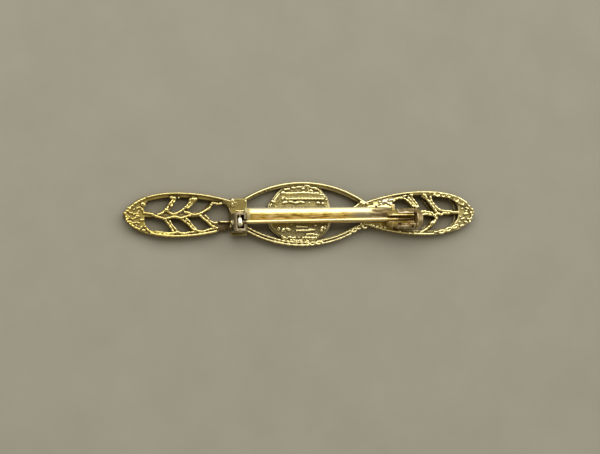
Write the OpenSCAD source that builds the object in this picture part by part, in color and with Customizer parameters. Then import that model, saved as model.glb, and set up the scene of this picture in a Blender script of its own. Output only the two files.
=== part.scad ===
// Bar brooch: a cast openwork bar of two leaves and a pointed centre oval, with a pin on its back.
// It lies face down: X runs along the bar, Y across it, and Z from the front up to the pin.
// The origin is in the middle of the bar, on the plane of its front face.

/* [Cast bar] */
// Depth of the cast rims from front to back
rim_depth = 2; // [1.8:0.05:2.2]
// Width of a rim, with its lip and its ledge
rim_width = 0.8; // [0.7:0.05:0.9]
// Width of the raised lip along the outer edge of a rim
lip_width = 0.36; // [0.3:0.02:0.44]
// Step from the lip down to the ledge inside it
ledge_step = 0.28; // [0.2:0.02:0.4]
// Distance between the beads along the edge of a rim
bead_pitch = 1.05; // [0.95:0.05:1.3]
// Radius of the beads along the edge of a rim
bead_r = 0.27; // [0.24:0.01:0.3]

/* [Centre oval] */
// Half width of the pointed oval at its middle
oval_half_width = 5.15; // [5:0.05:5.3]
// Radius of the two arcs that bound the oval
oval_arc_r = 18.8; // [18:0.1:20]
// Half length of the opening in the oval
oval_opening_half = 9.2; // [9:0.1:9.4]
// Radius of the ribbed round plate in the oval
plate_r = 4.9; // [4.7:0.1:5]
// Thickness of the plate under its ribs
plate_thickness = 1; // [0.8:0.1:1.2]
// Width of a rib on the plate
rib_width = 0.42; // [0.34:0.02:0.5]
// Height of a rib above the plate
rib_height = 0.42; // [0.3:0.02:0.5]

/* [Leaves] */
// Half width of a leaf at its widest place
leaf_half_width = 3.58; // [3.5:0.02:3.66]
// Distance from the middle of the bar to a leaf's widest place
leaf_wide_x = 21; // [20.8:0.1:21.2]
// Radius of the arcs from the widest place in to the oval
leaf_inner_arc_r = 31.8; // [30:0.2:33]
// Radius of the arcs from the widest place out to the nose
leaf_shoulder_r = 17; // [16.5:0.1:17.5]
// Radius of the arcs round the nose of a leaf
leaf_nose_r = 5.6; // [5.5:0.1:5.8]
// Where the inner end of a leaf's opening lies
leaf_opening_x = 12; // [11.8:0.1:12.2]
// Where the solid tip of a leaf begins
tip_start_x = 25.6; // [25.4:0.1:25.8]
// Width of a vein
vein_width = 0.46; // [0.4:0.02:0.52]
// Width of the midrib
midrib_width = 0.8; // [0.7:0.05:0.9]
// Radius of the grains on a leaf's tip
grain_r = 0.46; // [0.42:0.01:0.5]

/* [Pin back] */
// Width of the base strip
strip_width = 2.48; // [2.3:0.02:2.6]
// Thickness of the base strip
strip_thickness = 0.45; // [0.4:0.05:0.5]
// Offset of the base strip's middle line across the bar
strip_y = -0.26; // [-0.3:0.02:-0.2]
// Height of the pin's axis above the front plane
pin_z = 3.7; // [3.65:0.01:3.75]
// Diameter of the pin
pin_d = 0.68; // [0.6:0.02:0.7]
// Length of the sharpened end of the pin
point_length = 3.2; // [2.5:0.1:3.6]

/* [Hinge] */
// Place of the hinge's axis along the bar
hinge_x = -10.85; // [-10.9:0.01:-10.8]
// Place of the pin's root across the bar
hinge_y = -1.4; // [-1.42:0.01:-1.38]
// Length of the hinge housing across the bar
housing_length = 2.96; // [2.9:0.02:3.1]
// Width of the hinge housing along the bar
housing_width = 2.34; // [2.3:0.02:2.4]
// Radius of the knuckle at the root of the pin
knuckle_r = 0.5; // [0.48:0.01:0.51]
// Length of the knuckle across the bar
knuckle_length = 1.46; // [1.3:0.02:1.6]
// Radius of the rivet
rivet_r = 0.24; // [0.22:0.01:0.26]

/* [Catch] */
// Outer radius of the catch's drum
drum_r = 1.7; // [1.65:0.01:1.75]
// Where the drum begins along the bar
drum_x = 15.2; // [15.15:0.01:15.25]
// Length of the drum without its end ring
drum_length = 2.9; // [2.85:0.05:2.95]
// Length of the ring at the end of the drum
end_ring_length = 1.3; // [1.1:0.05:1.4]
// Place of the drum's axis across the bar
drum_y = -1.06; // [-1.08:0.01:-1.04]
// Width of the drum's mouth between its two jaws
jaw_gap = 1.7; // [1.6:0.02:1.8]
// Radius of the turning collar inside the drum
collar_r = 1.38; // [1.36:0.01:1.4]
// Width of the collar's slot where the pin drops in
slot_width = 0.94; // [0.9:0.01:1]
// Reach of the thumb tab from the collar's axis
tab_reach = 2.35; // [2.2:0.05:2.5]

/* [Hidden] */
$fn = 48;

gold = [0.83, 0.7, 0.33];
pale_gold = [0.9, 0.78, 0.45];

// Lets a cutting solid pass a little beyond what it cuts.
over = 0.2;
// How deep joined solids run into each other.
bite = 0.12;
// Play between a fixed piece and the one it is pressed into.
fixed_play = 0.02;
// Play between turning faces.
running_play = 0.05;

// The veins of a leaf, one row a pair, from the tip inwards.
// Columns: where the pair leaves the midrib, where it meets the rims, and how far out that is.
APEX_X = 0;
END_X = 1;
END_Y = 2;
veins = [
    [22.7, 21.2, 3.05],
    [19.7, 17.7, 2.9],
    [16.8, 13.8, 2.2],
];

// The ribs of the centre plate, one row a rib. Columns: place across the bar and half length.
RIB_Y = 0;
RIB_HALF = 1;
ribs = [
    [4.1, 2],
    [3.26, 3.4],
    [2.32, 3.5],
    [1.76, 3.3],
    [0.9, 3.6],
    [0, 3.6],
    [-0.9, 3.6],
    [-1.7, 3.6],
    [-2.5, 3.5],
    [-3.3, 3.1],
    [-4.05, 2],
];

// The lumps of solder, one row a lump. Columns: place along and across the bar, and radius.
LUMP_X = 0;
LUMP_Y = 1;
LUMP_R = 2;
solder_lumps = [
    [13.7, 1.95, 0.5],
    [14.7, 1.7, 0.42],
    [12.3, 1.35, 0.32],
    [-9.6, 2, 0.34],
    [-11.35, 2, 0.3],
];
solder_z = 1.95;

// The nose arcs run on from the shoulder arcs without a corner, where the outline has turned through
// the small angle of a 7, 24, 25 triangle.
shoulder_turn = [0.28, 0.96];
turn_angle = atan2(shoulder_turn.x, shoulder_turn.y);
nose_start_x = leaf_wide_x + leaf_shoulder_r * shoulder_turn.x;
nose_middle_x = leaf_wide_x + (leaf_shoulder_r - leaf_nose_r) * shoulder_turn.x;
nose_drop = leaf_shoulder_r - leaf_half_width - (leaf_shoulder_r - leaf_nose_r) * shoulder_turn.y;
leaf_tip_x = nose_middle_x + sqrt(leaf_nose_r * leaf_nose_r - nose_drop * nose_drop);

vein_bottom = 0.2;
vein_top = rim_depth - 0.2;
tip_bottom = 0.3;
tip_top = rim_depth - 0.45;
plate_bottom = 0.3;
plate_top = plate_bottom + plate_thickness;

// Where the outlines of a leaf and of the oval cross.
meet_x = 10.8;
// The block where each leaf meets the oval, and the wider pad under the hinge.
joint_start_x = oval_opening_half;
joint_half_height = 2;
hinge_pad = [2.6, 6];
hinge_pad_middle = [-10.5, -0.45];
hinge_pad_bottom = 0.9;
pad_rise = 0.06;
catch_pad_end_x = 15.35;
catch_pad_bottom = 1.1;

strip_start_x = -9.7;
strip_end_x = 15;
strip_top = rim_depth + strip_thickness;
strip_chamfer = 0.14;

ear = 0.4;
housing_top_r = housing_width / 2;
housing_top_z = 3.4;
housing_middle = [-10.73, hinge_y];
cavity_half = knuckle_r + running_play;
cavity_floor = 2.6;
stem_slot = 0.84;

pin_r = pin_d / 2;
pin_tip_x = 18.05;
pin_skew = atan((drum_y - hinge_y) / (pin_tip_x - hinge_x));
pin_length = (pin_tip_x - hinge_x) / cos(pin_skew);
pin_tip_r = 0.06;

drum_bore_r = collar_r + running_play;
drum_end_x = drum_x + drum_length;
collar_bore_r = 0.56;
foot_width = 1.9;
drum_end_wall = 0.2;
end_groove_width = 0.2;
end_groove_depth = 0.22;
collar_start_x = 13.7;
collar_cone_x = 14.3;
collar_cone_r = 1;
collar_end_x = drum_end_x - drum_end_wall - running_play;
tab_x = [14.42, 14.92];
tab_height = 0.6;

// A flat shape between two arcs of one radius, pointed at both ends.
module lens_outline(half_width, arc_r, inset) {
    intersection_for (side = [-1, 1])
        translate([0, side * (arc_r - half_width)])
            circle(r = arc_r - inset, $fn = 180);
}

module oval_outline(inset = 0) {
    lens_outline(oval_half_width, oval_arc_r, inset);
}

// The stretch of a lens between two places along the bar.
module lens_stretch(middle_x, half_width, arc_r, inset, from_x, to_x) {
    intersection() {
        translate([middle_x, 0])
            lens_outline(half_width, arc_r, inset);
        translate([from_x, -leaf_half_width * 2])
            square([to_x - from_x, leaf_half_width * 4]);
    }
}

// A leaf in three stretches: from the oval to its widest place, on to the nose, and the nose.
module leaf_outline(inset = 0) {
    lens_stretch(leaf_wide_x, leaf_half_width, leaf_inner_arc_r, inset, joint_start_x, leaf_wide_x);
    lens_stretch(leaf_wide_x, leaf_half_width, leaf_shoulder_r, inset, leaf_wide_x, nose_start_x);
    lens_stretch(nose_middle_x, leaf_nose_r - nose_drop, leaf_nose_r, inset, nose_start_x, leaf_tip_x + over);
}

// Half width of a leaf's outline at a place along its nose.
function nose_reach(x) = sqrt(pow(leaf_nose_r, 2) - pow(x - nose_middle_x, 2)) - nose_drop;

// A flat bar from one point to another, run on a little at both ends.
module flat_bar(from, to, width) {
    run = to - from;
    translate(from)
        rotate(atan2(run.y, run.x))
            translate([-width / 3, -width / 2])
                square([norm(run) + width * 2 / 3, width]);
}

module both_ends() {
    children();
    mirror([1, 0, 0])
        children();
}

// The rims with their lip and, a step lower, the ledge inside it.
module leaf_rim() {
    linear_extrude(rim_depth)
        difference() {
            leaf_outline();
            leaf_outline(lip_width);
        }
    linear_extrude(rim_depth - ledge_step)
        difference() {
            leaf_outline(lip_width / 2);
            leaf_outline(rim_width);
        }
}

module oval_rim() {
    intersection() {
        union() {
            linear_extrude(rim_depth)
                difference() {
                    oval_outline();
                    oval_outline(lip_width);
                }
            linear_extrude(rim_depth - ledge_step)
                difference() {
                    oval_outline(lip_width / 2);
                    oval_outline(rim_width);
                }
        }
        translate([0, 0, rim_depth / 2])
            cube([(meet_x + rim_width / 2) * 2, oval_half_width * 3, rim_depth * 2], center = true);
    }
}

// Midrib with a small lozenge sunk in it where each pair of veins leaves it.
module midrib() {
    lozenge = [0.55, 0.22];
    lozenge_depth = 0.5;
    lozenge_shift = 0.3;
    difference() {
        translate([0, 0, vein_bottom])
            linear_extrude(vein_top - vein_bottom)
                flat_bar([veins[2][APEX_X], 0], [tip_start_x, 0], midrib_width);
        for (pair = veins)
            translate([pair[APEX_X] + lozenge_shift, 0, vein_top - lozenge_depth])
                linear_extrude(lozenge_depth + over)
                    polygon([[-lozenge.x, 0], [0, lozenge.y], [lozenge.x, 0], [0, -lozenge.y]]);
    }
}

module leaf_veins() {
    translate([0, 0, vein_bottom])
        linear_extrude(vein_top - vein_bottom)
            for (pair = veins, side = [-1, 1])
                flat_bar([pair[APEX_X], 0], [pair[END_X], side * pair[END_Y]], vein_width);
}

// Solid tip with grains in staggered rows on its back.
module leaf_tip() {
    translate([0, 0, tip_bottom])
        linear_extrude(tip_top - tip_bottom)
            intersection() {
                leaf_outline(lip_width / 2);
                translate([tip_start_x, -leaf_half_width])
                    square([leaf_tip_x - tip_start_x, leaf_half_width * 2]);
            }
    grain_pitch = grain_r * 2.05;
    last_row = 3;
    half_row = 3;
    for (row = [0:last_row], place = [-half_row:half_row]) {
        grain_x = nose_start_x + grain_r / 2 + row * grain_pitch * sin(60);
        grain_y = (place + (row % 2) / 2) * grain_pitch;
        if (abs(grain_y) < nose_reach(grain_x) - rim_width)
            translate([grain_x, grain_y, tip_top - grain_r * 0.2])
                sphere(r = grain_r);
    }
}

// The angle between two beads on an arc.
function bead_angle(arc_r) = bead_pitch / arc_r * 180 / PI;

// A row of beads round the outer edge of an arc, from one angle to another.
module bead_arc(arc_r, middle, from, to) {
    count = floor((to - from) * PI / 180 * arc_r / bead_pitch);
    for (i = [0:count]) {
        angle = from + (to - from) * i / count;
        translate([middle.x + arc_r * cos(angle), middle.y + arc_r * sin(angle), 0])
            cylinder(r = bead_r, h = rim_depth * 0.62, $fn = 24);
    }
}

module leaf_beads() {
    inner_angle = asin((leaf_wide_x - meet_x) / leaf_inner_arc_r);
    nose_angle = acos((leaf_tip_x - nose_middle_x) / leaf_nose_r) + bead_angle(leaf_nose_r) / 4;
    shoulder_angle = 90 - turn_angle;
    nose_step = bead_angle(leaf_nose_r) / 2;
    shoulder_step = bead_angle(leaf_shoulder_r) / 2;
    sunk = bead_r / 2;
    for (side = [0, 1])
        mirror([0, side, 0]) {
            bead_arc(leaf_nose_r - sunk,
                [nose_middle_x, -nose_drop], nose_angle, shoulder_angle - nose_step);
            bead_arc(leaf_shoulder_r - sunk,
                [leaf_wide_x, leaf_half_width - leaf_shoulder_r],
                shoulder_angle + shoulder_step, 90 - shoulder_step);
            bead_arc(leaf_inner_arc_r - sunk,
                [leaf_wide_x, leaf_half_width - leaf_inner_arc_r], 90, 90 + inner_angle);
        }
}

module oval_beads() {
    end_angle = asin((meet_x - bead_pitch / 2) / oval_arc_r);
    for (side = [0, 1])
        mirror([0, side, 0])
            bead_arc(oval_arc_r - bead_r / 2,
                [0, oval_half_width - oval_arc_r], 90 - end_angle, 90 + end_angle);
}

// The solid place where a leaf and the oval run into each other.
module joint_block() {
    linear_extrude(rim_depth - ledge_step / 2)
        intersection() {
            translate([joint_start_x, -joint_half_height])
                square([leaf_opening_x - joint_start_x, joint_half_height * 2]);
            union() {
                oval_outline(lip_width / 2);
                leaf_outline(lip_width / 2);
            }
        }
}

module centre_plate() {
    translate([0, 0, plate_bottom])
        linear_extrude(plate_thickness)
            intersection() {
                circle(r = plate_r, $fn = 120);
                oval_outline(rim_width / 2);
            }
    for (rib = ribs)
        translate([-rib[RIB_HALF], rib[RIB_Y] - rib_width / 2, plate_top - bite])
            cube([rib[RIB_HALF] * 2, rib_width, rib_height + bite]);
}

// Base strip with bevelled long edges, soldered across the blocks at its ends and hollowed a little
// under the collar of the catch.
module base_strip() {
    half = strip_width / 2;
    collar_room = 0.1;
    hollow_r = collar_r + collar_room;
    difference() {
        translate([strip_start_x, strip_y, rim_depth])
            rotate([90, 0, 90])
                linear_extrude(strip_end_x - strip_start_x)
                    polygon([
                        [-half, -bite],
                        [half, -bite],
                        [half, strip_thickness - strip_chamfer],
                        [half - strip_chamfer, strip_thickness],
                        [strip_chamfer - half, strip_thickness],
                        [-half, strip_thickness - strip_chamfer],
                    ]);
        catch_round(collar_start_x - collar_room, strip_end_x + over, hollow_r, hollow_r);
    }
}

module hinge_plate() {
    translate([hinge_pad_middle.x - hinge_pad.x / 2, hinge_pad_middle.y - hinge_pad.y / 2, hinge_pad_bottom])
        cube([hinge_pad.x, hinge_pad.y, rim_depth + pad_rise - hinge_pad_bottom]);
}

// Housing of the hinge: a rolled top over two ears, with a window for the knuckle and a slot for the pin.
module hinge_housing() {
    window_top = housing_top_z + housing_top_r + over;
    side_step = 0.04;
    difference() {
        translate([housing_middle.x, housing_middle.y + housing_length / 2, 0])
            rotate([90, 0, 0])
                linear_extrude(housing_length)
                    union() {
                        translate([side_step - housing_top_r, rim_depth - bite])
                            square([housing_width - side_step * 2, housing_top_z - rim_depth + bite]);
                        translate([0, housing_top_z])
                            circle(r = housing_top_r, $fn = 72);
                    }
        translate([hinge_x - cavity_half, hinge_y - housing_length / 2 + ear, cavity_floor])
            cube([cavity_half * 2, housing_length - ear * 2, window_top - cavity_floor]);
        translate([hinge_x, hinge_y - stem_slot / 2, pin_z - stem_slot / 2])
            cube([housing_width, stem_slot, window_top - pin_z + stem_slot / 2]);
        translate([hinge_x, hinge_y + housing_length / 2 + over, pin_z])
            rotate([90, 0, 0])
                cylinder(r = rivet_r + fixed_play, h = housing_length + over * 2, $fn = 32);
    }
}

// Plate of metal that fills the inner end of the leaf under the catch.
module catch_plate() {
    translate([0, 0, catch_pad_bottom])
        linear_extrude(rim_depth + pad_rise - catch_pad_bottom)
            intersection() {
                translate([leaf_opening_x - bite, -joint_half_height * 2])
                    square([catch_pad_end_x - leaf_opening_x + bite, joint_half_height * 4]);
                leaf_outline(lip_width);
            }
}

// A round piece of the catch on the drum's axis, from one place along the bar to another.
module catch_round(from_x, to_x, from_r, to_r) {
    translate([from_x, drum_y, pin_z])
        rotate([0, 90, 0])
            cylinder(r1 = from_r, r2 = to_r, h = to_x - from_x);
}

// Drum of the catch on its foot, open between two jaws at the top, with a closed ring at its end.
module catch_drum() {
    collar_end_gap = drum_end_x - drum_end_wall;
    front_ring_x = drum_x + 1.1;
    front_ring_r = drum_r - 0.1;
    ring_start_x = drum_end_x + end_groove_width;
    ring_end_x = drum_end_x + end_ring_length;
    ring_end_r = drum_r * 0.72;
    groove_r = drum_r - end_groove_depth;
    foot_start_x = drum_x + bite;
    foot_end_x = ring_end_x - 0.5;
    foot_bottom = vein_top - 0.3;
    foot_top = pin_z - drum_r + 0.5;
    difference() {
        union() {
            catch_round(drum_x, front_ring_x + bite, front_ring_r, front_ring_r);
            catch_round(front_ring_x, drum_end_x, drum_r, drum_r);
            catch_round(drum_end_x - bite, ring_start_x + bite, groove_r, groove_r);
            catch_round(ring_start_x, ring_end_x, drum_r, ring_end_r);
            translate([foot_start_x, drum_y - foot_width / 2, foot_bottom])
                cube([foot_end_x - foot_start_x, foot_width, foot_top - foot_bottom]);
        }
        catch_round(drum_x - over, collar_end_gap, drum_bore_r, drum_bore_r);
        translate([drum_x - over, drum_y - jaw_gap / 2, pin_z])
            cube([ring_start_x - drum_x + over, jaw_gap, drum_r + over]);
        translate([drum_end_x - drum_end_wall * 2, drum_y - slot_width / 2, pin_z - slot_width / 2])
            cube([drum_end_wall * 2 + end_groove_width, slot_width, slot_width]);
    }
}

// A bar under the drum that carries its foot between the rims of the leaf.
module catch_bridge() {
    bridge_length = 3.6;
    bridge_bottom = vein_bottom + 0.5;
    translate([catch_pad_end_x - bite, drum_y - foot_width / 2, bridge_bottom])
        cube([bridge_length, foot_width, vein_top - bridge_bottom]);
}

module brooch_bar() color(gold) {
    both_ends() {
        leaf_rim();
        leaf_veins();
        midrib();
        leaf_tip();
        leaf_beads();
        joint_block();
    }
    oval_rim();
    oval_beads();
    centre_plate();
    base_strip();
    hinge_plate();
    hinge_housing();
    catch_plate();
    catch_bridge();
    catch_drum();
    for (lump = solder_lumps)
        translate([lump[LUMP_X], lump[LUMP_Y], solder_z])
            sphere(r = lump[LUMP_R]);
}

module hinge_rivet() color(pale_gold) {
    head = 0.14;
    head_gap = 0.02;
    half = housing_length / 2 + head_gap;
    translate([hinge_x, hinge_y, pin_z])
        rotate([90, 0, 0]) {
            cylinder(r = rivet_r, h = half * 2 + bite, center = true, $fn = 32);
            for (side = [0, 1])
                mirror([0, 0, side])
                    translate([0, 0, half])
                        cylinder(r1 = rivet_r * 1.8, r2 = rivet_r * 1.2, h = head, $fn = 32);
        }
}

module pin_stem() color(pale_gold) {
    shaft_length = pin_length - point_length;
    difference() {
        union() {
            translate([hinge_x, hinge_y, pin_z])
                rotate([90, 0, 0])
                    cylinder(r = knuckle_r, h = knuckle_length, center = true);
            translate([hinge_x, hinge_y, pin_z])
                rotate([0, 0, pin_skew])
                    rotate([0, 90, 0]) {
                        cylinder(r = pin_r, h = shaft_length, $fn = 32);
                        translate([0, 0, shaft_length])
                            cylinder(r1 = pin_r, r2 = pin_tip_r, h = point_length, $fn = 32);
                    }
        }
        translate([hinge_x, hinge_y, pin_z])
            rotate([90, 0, 0])
                cylinder(r = rivet_r + running_play, h = knuckle_length * 2, center = true, $fn = 32);
    }
}

// Collar that turns in the drum and closes its mouth, with a thumb tab at the open end.
module catch_collar() color(pale_gold) {
    difference() {
        union() {
            catch_round(collar_start_x, collar_cone_x, collar_cone_r, collar_r);
            catch_round(collar_cone_x, collar_end_x, collar_r, collar_r);
            translate([tab_x[0], drum_y, pin_z - tab_height / 2])
                cube([tab_x[1] - tab_x[0], tab_reach, tab_height]);
        }
        catch_round(collar_start_x - over, collar_end_x + over, collar_bore_r, collar_bore_r);
        translate([collar_start_x - over, drum_y - slot_width / 2, pin_z])
            cube([collar_end_x - collar_start_x + over * 2, slot_width, collar_r + over]);
    }
}

brooch_bar();
hinge_rivet();
pin_stem();
catch_collar();
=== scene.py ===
import math
import random

import bmesh
import bpy
import numpy as np
from mathutils import Matrix, Vector


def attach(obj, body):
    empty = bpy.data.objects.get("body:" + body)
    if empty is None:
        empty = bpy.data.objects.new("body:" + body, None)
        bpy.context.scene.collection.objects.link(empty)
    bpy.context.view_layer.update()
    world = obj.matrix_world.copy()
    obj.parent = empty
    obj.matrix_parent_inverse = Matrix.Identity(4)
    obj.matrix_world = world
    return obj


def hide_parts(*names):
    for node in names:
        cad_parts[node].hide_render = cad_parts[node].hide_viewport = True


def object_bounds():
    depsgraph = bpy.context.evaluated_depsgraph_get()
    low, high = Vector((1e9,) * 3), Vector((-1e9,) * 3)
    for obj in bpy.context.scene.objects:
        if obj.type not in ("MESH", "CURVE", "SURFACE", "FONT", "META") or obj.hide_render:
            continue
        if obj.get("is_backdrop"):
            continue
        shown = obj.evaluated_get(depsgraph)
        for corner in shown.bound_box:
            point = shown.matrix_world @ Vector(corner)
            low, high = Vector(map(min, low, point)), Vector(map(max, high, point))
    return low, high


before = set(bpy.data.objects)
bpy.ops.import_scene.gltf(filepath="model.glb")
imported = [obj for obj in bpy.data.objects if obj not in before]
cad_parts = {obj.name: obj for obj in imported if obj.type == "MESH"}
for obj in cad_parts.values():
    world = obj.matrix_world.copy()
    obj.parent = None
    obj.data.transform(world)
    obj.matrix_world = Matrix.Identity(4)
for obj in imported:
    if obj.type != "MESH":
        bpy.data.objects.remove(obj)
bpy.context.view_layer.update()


# The left leaf.
# A cast openwork leaf with a lipped rim, a double midrib that opens into small eyes where the veins
# leave it, three pairs of veins, and a solid tip covered with grains. It is brass, plated with gold.


def set_socket(tree, socket, value):
    """Gives a socket a number or a colour, or links another socket to it."""
    if isinstance(value, tuple):
        socket.default_value = value + (1.0,)
    elif isinstance(value, (int, float)):
        socket.default_value = value
    else:
        tree.links.new(value, socket)


def group_sockets(tree, inputs, outputs):
    """Names the sockets of a node group and returns its input and output nodes."""
    for label, kind, value in inputs:
        socket = tree.interface.new_socket(name=label, in_out="INPUT", socket_type=kind)
        if value is not None:
            socket.default_value = value
    for label, kind in outputs:
        tree.interface.new_socket(name=label, in_out="OUTPUT", socket_type=kind)
    return tree.nodes.new("NodeGroupInput"), tree.nodes.new("NodeGroupOutput")


def math_node(tree, operation, *values, clamp=False):
    node = tree.nodes.new("ShaderNodeMath")
    node.operation = operation
    node.use_clamp = clamp
    for socket, value in zip(node.inputs, values):
        set_socket(tree, socket, value)
    return node.outputs[0]


def noise_node(tree, vector, scale, detail=3.0, roughness=0.6):
    node = tree.nodes.new("ShaderNodeTexNoise")
    for label, value in (("Vector", vector), ("Scale", scale), ("Detail", detail), ("Roughness", roughness)):
        set_socket(tree, node.inputs[label], value)
    return node.outputs["Fac"]


def span_node(tree, value, from_low, from_high, to_low=0.0, to_high=1.0):
    """Carries a value from one span to another, and holds it at the ends."""
    node = tree.nodes.new("ShaderNodeMapRange")
    node.clamp = True
    labels = ("Value", "From Min", "From Max", "To Min", "To Max")
    for label, number in zip(labels, (value, from_low, from_high, to_low, to_high)):
        set_socket(tree, node.inputs[label], number)
    return node.outputs["Result"]


def mix_colours(tree, share, first, second):
    node = tree.nodes.new("ShaderNodeMix")
    node.data_type = "RGBA"
    for label, value in (("Factor", share), ("A", first), ("B", second)):
        set_socket(tree, node.inputs[label], value)
    return node.outputs["Result"]


def tinted(colour, shares):
    return tuple(part * share for part, share in zip(colour, shares))


def object_place(tree):
    return tree.nodes.new("ShaderNodeTexCoord").outputs["Object"]


def object_axes(tree):
    """The place on the piece, in metres, as separate X, Y and Z."""
    node = tree.nodes.new("ShaderNodeSeparateXYZ")
    tree.links.new(object_place(tree), node.inputs["Vector"])
    return node.outputs


def carried(tree, name):
    """A value that the mesh carries at its points."""
    node = tree.nodes.new("ShaderNodeAttribute")
    node.attribute_name = name
    return node.outputs["Fac"]


# Hollow is 1 deep in a recess and Crest is 1 on an outstanding edge, both from the relief attribute
# that each casting carries. The shelter share is 1 where the metal around stands high above a point and
# hides the sky, and it paints shade there.
hollow_group = bpy.data.node_groups.new("hollows and crests", "ShaderNodeTree")
hollow_in, hollow_out = group_sockets(
    hollow_group,
    [("Reach", "NodeSocketFloat", 0.35), ("Spots", "NodeSocketFloat", 900.0),
     ("Depth", "NodeSocketFloat", 0.6)],
    [("Hollow", "NodeSocketFloat"), ("Crest", "NodeSocketFloat"), ("Painted Shade", "NodeSocketFloat")])
SPOT_SPREAD, OPEN_SKY = 0.3, 0.12
spots = noise_node(hollow_group, object_place(hollow_group), hollow_in.outputs["Spots"], 3.0, 0.5)
spot_shift = math_node(hollow_group, "MULTIPLY_ADD", spots, SPOT_SPREAD, -SPOT_SPREAD / 2)
shifted = math_node(hollow_group, "ADD", carried(hollow_group, "relief"), spot_shift)
raised = math_node(hollow_group, "MULTIPLY", shifted, -1.0)
painted_shade_share = math_node(hollow_group, "ADD", carried(hollow_group, "shelter"),
                      math_node(hollow_group, "MULTIPLY", spot_shift, 0.5))
painted_shade_share = math_node(hollow_group, "SUBTRACT", painted_shade_share, OPEN_SKY)
for label, amount, reach in (
        ("Hollow", shifted, "Reach"), ("Crest", raised, "Reach"), ("Painted Shade", painted_shade_share, "Depth")):
    share = math_node(hollow_group, "DIVIDE", amount, hollow_in.outputs[reach], clamp=True)
    hollow_group.links.new(share, hollow_out.inputs[label])

# The fine skin that a casting takes from its mould: low swells, grain and a few pits.
skin_group = bpy.data.node_groups.new("cast skin", "ShaderNodeTree")
skin_in, skin_out = group_sockets(
    skin_group,
    [("Swell", "NodeSocketFloat", 1.0), ("Grain", "NodeSocketFloat", 0.35)],
    [("Height", "NodeSocketFloat"), ("Tone", "NodeSocketFloat")])
skin_place = object_place(skin_group)
swell = noise_node(skin_group, skin_place, 1500.0, 2.0, 0.5)
grain = noise_node(skin_group, skin_place, 5200.0, 4.0, 0.65)
pits = skin_group.nodes.new("ShaderNodeTexVoronoi")
pits.inputs["Scale"].default_value = 2600.0
skin_group.links.new(skin_place, pits.inputs["Vector"])
pit_depth = span_node(skin_group, pits.outputs["Distance"], 0.05, 0.35)
height = math_node(skin_group, "MULTIPLY", swell, skin_in.outputs["Swell"])
fine = math_node(skin_group, "MULTIPLY", grain, skin_in.outputs["Grain"])
height = math_node(skin_group, "ADD", height, fine)
height = math_node(skin_group, "ADD", height, math_node(skin_group, "MULTIPLY", pit_depth, 0.35))
skin_group.links.new(height, skin_out.inputs["Height"])
skin_group.links.new(noise_node(skin_group, skin_place, 420.0, 3.0, 0.55), skin_out.inputs["Tone"])


def place_group(tree, group, values):
    node = tree.nodes.new("ShaderNodeGroup")
    node.node_tree = group
    for label, value in values.items():
        node.inputs[label].default_value = value
    return node.outputs


def new_finish(name):
    """A new material, its tree and the sockets of its shader."""
    material = bpy.data.materials.new(name)
    material.use_nodes = True
    tree = material.node_tree
    return material, tree, tree.nodes["Principled BSDF"].inputs


def roughen(tree, height, strength, distance):
    rise = tree.nodes.new("ShaderNodeBump")
    rise.inputs["Strength"].default_value = strength
    rise.inputs["Distance"].default_value = distance
    tree.links.new(height, rise.inputs["Height"])
    tree.links.new(rise.outputs["Normal"], tree.nodes["Principled BSDF"].inputs["Normal"])


def overlay(material, share, colour):
    """Lays a colour over the base colour of a material, where share is 1."""
    tree = material.node_tree
    socket = tree.nodes["Principled BSDF"].inputs["Base Color"]
    tree.links.new(mix_colours(tree, share, socket.links[0].from_socket, colour), socket)


def hold(material, label, operation, limit):
    """Holds a value of the shader at or below a limit (MINIMUM), or at or above it (MAXIMUM)."""
    tree = material.node_tree
    socket = tree.nodes["Principled BSDF"].inputs[label]
    tree.links.new(math_node(tree, operation, socket.links[0].from_socket, limit), socket)


# The colour is deeper towards the hinge end: from where to where, in metres, and by how much.
DEEP_FROM, DEEP_TO = -0.031, -0.002
DEEP_FACE, DEEPER_FACE, DEEP_WORN_AND_HIGHLIT = (0.7, 0.62, 0.26), (0.6, 0.54, 0.22), (0.72, 0.65, 0.44)


def cast_gold(name, face, worn_and_highlit, dirt_and_shade_colour, rough, swell, grain, bump, reach, depth):
    """Plated castings: crests worn bright and painted as highlights, hollows and hidden spots olive brown
    with dirt and painted shade.
    """
    material, tree, shader = new_finish(name)
    marks = place_group(tree, hollow_group, {"Reach": reach, "Spots": 900.0, "Depth": depth})
    skin = place_group(tree, skin_group, {"Swell": swell, "Grain": grain})
    tone = span_node(tree, skin["Tone"], 0.3, 0.7)
    base = mix_colours(tree, tone, face, tinted(face, (0.84, 0.84, 0.84)))
    # crests take the worn colour: real wear and a painted highlight
    base = mix_colours(tree, marks["Crest"], base, worn_and_highlit)
    deeper = mix_colours(tree, tone, tinted(face, DEEP_FACE), tinted(face, DEEPER_FACE))
    deeper = mix_colours(tree, marks["Crest"], deeper, tinted(worn_and_highlit, DEEP_WORN_AND_HIGHLIT))
    base = mix_colours(tree, span_node(tree, object_axes(tree)["X"], DEEP_FROM, DEEP_TO), deeper, base)
    # dirt and painted shade, darker in hollows and where the metal around hides the sky
    dirt_and_shade = math_node(tree, "MAXIMUM", marks["Hollow"], marks["Painted Shade"])
    tree.links.new(mix_colours(tree, dirt_and_shade, base, dirt_and_shade_colour), shader["Base Color"])
    tree.links.new(span_node(tree, dirt_and_shade, 0.15, 0.8, 1.0, 0.15), shader["Metallic"])
    tree.links.new(span_node(tree, dirt_and_shade, 0.0, 1.0, rough[0], rough[1]), shader["Roughness"])
    roughen(tree, skin["Height"], 1.0, bump)
    return material


leaf_gold = cast_gold(
    "cast gold of the leaves", face=(0.83, 0.73, 0.29), worn_and_highlit=(0.99, 0.9, 0.5), dirt_and_shade_colour=(0.13, 0.09, 0.016),
    rough=(0.13, 0.5), swell=0.8, grain=0.3, bump=0.000014, reach=0.6, depth=0.5)
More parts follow.
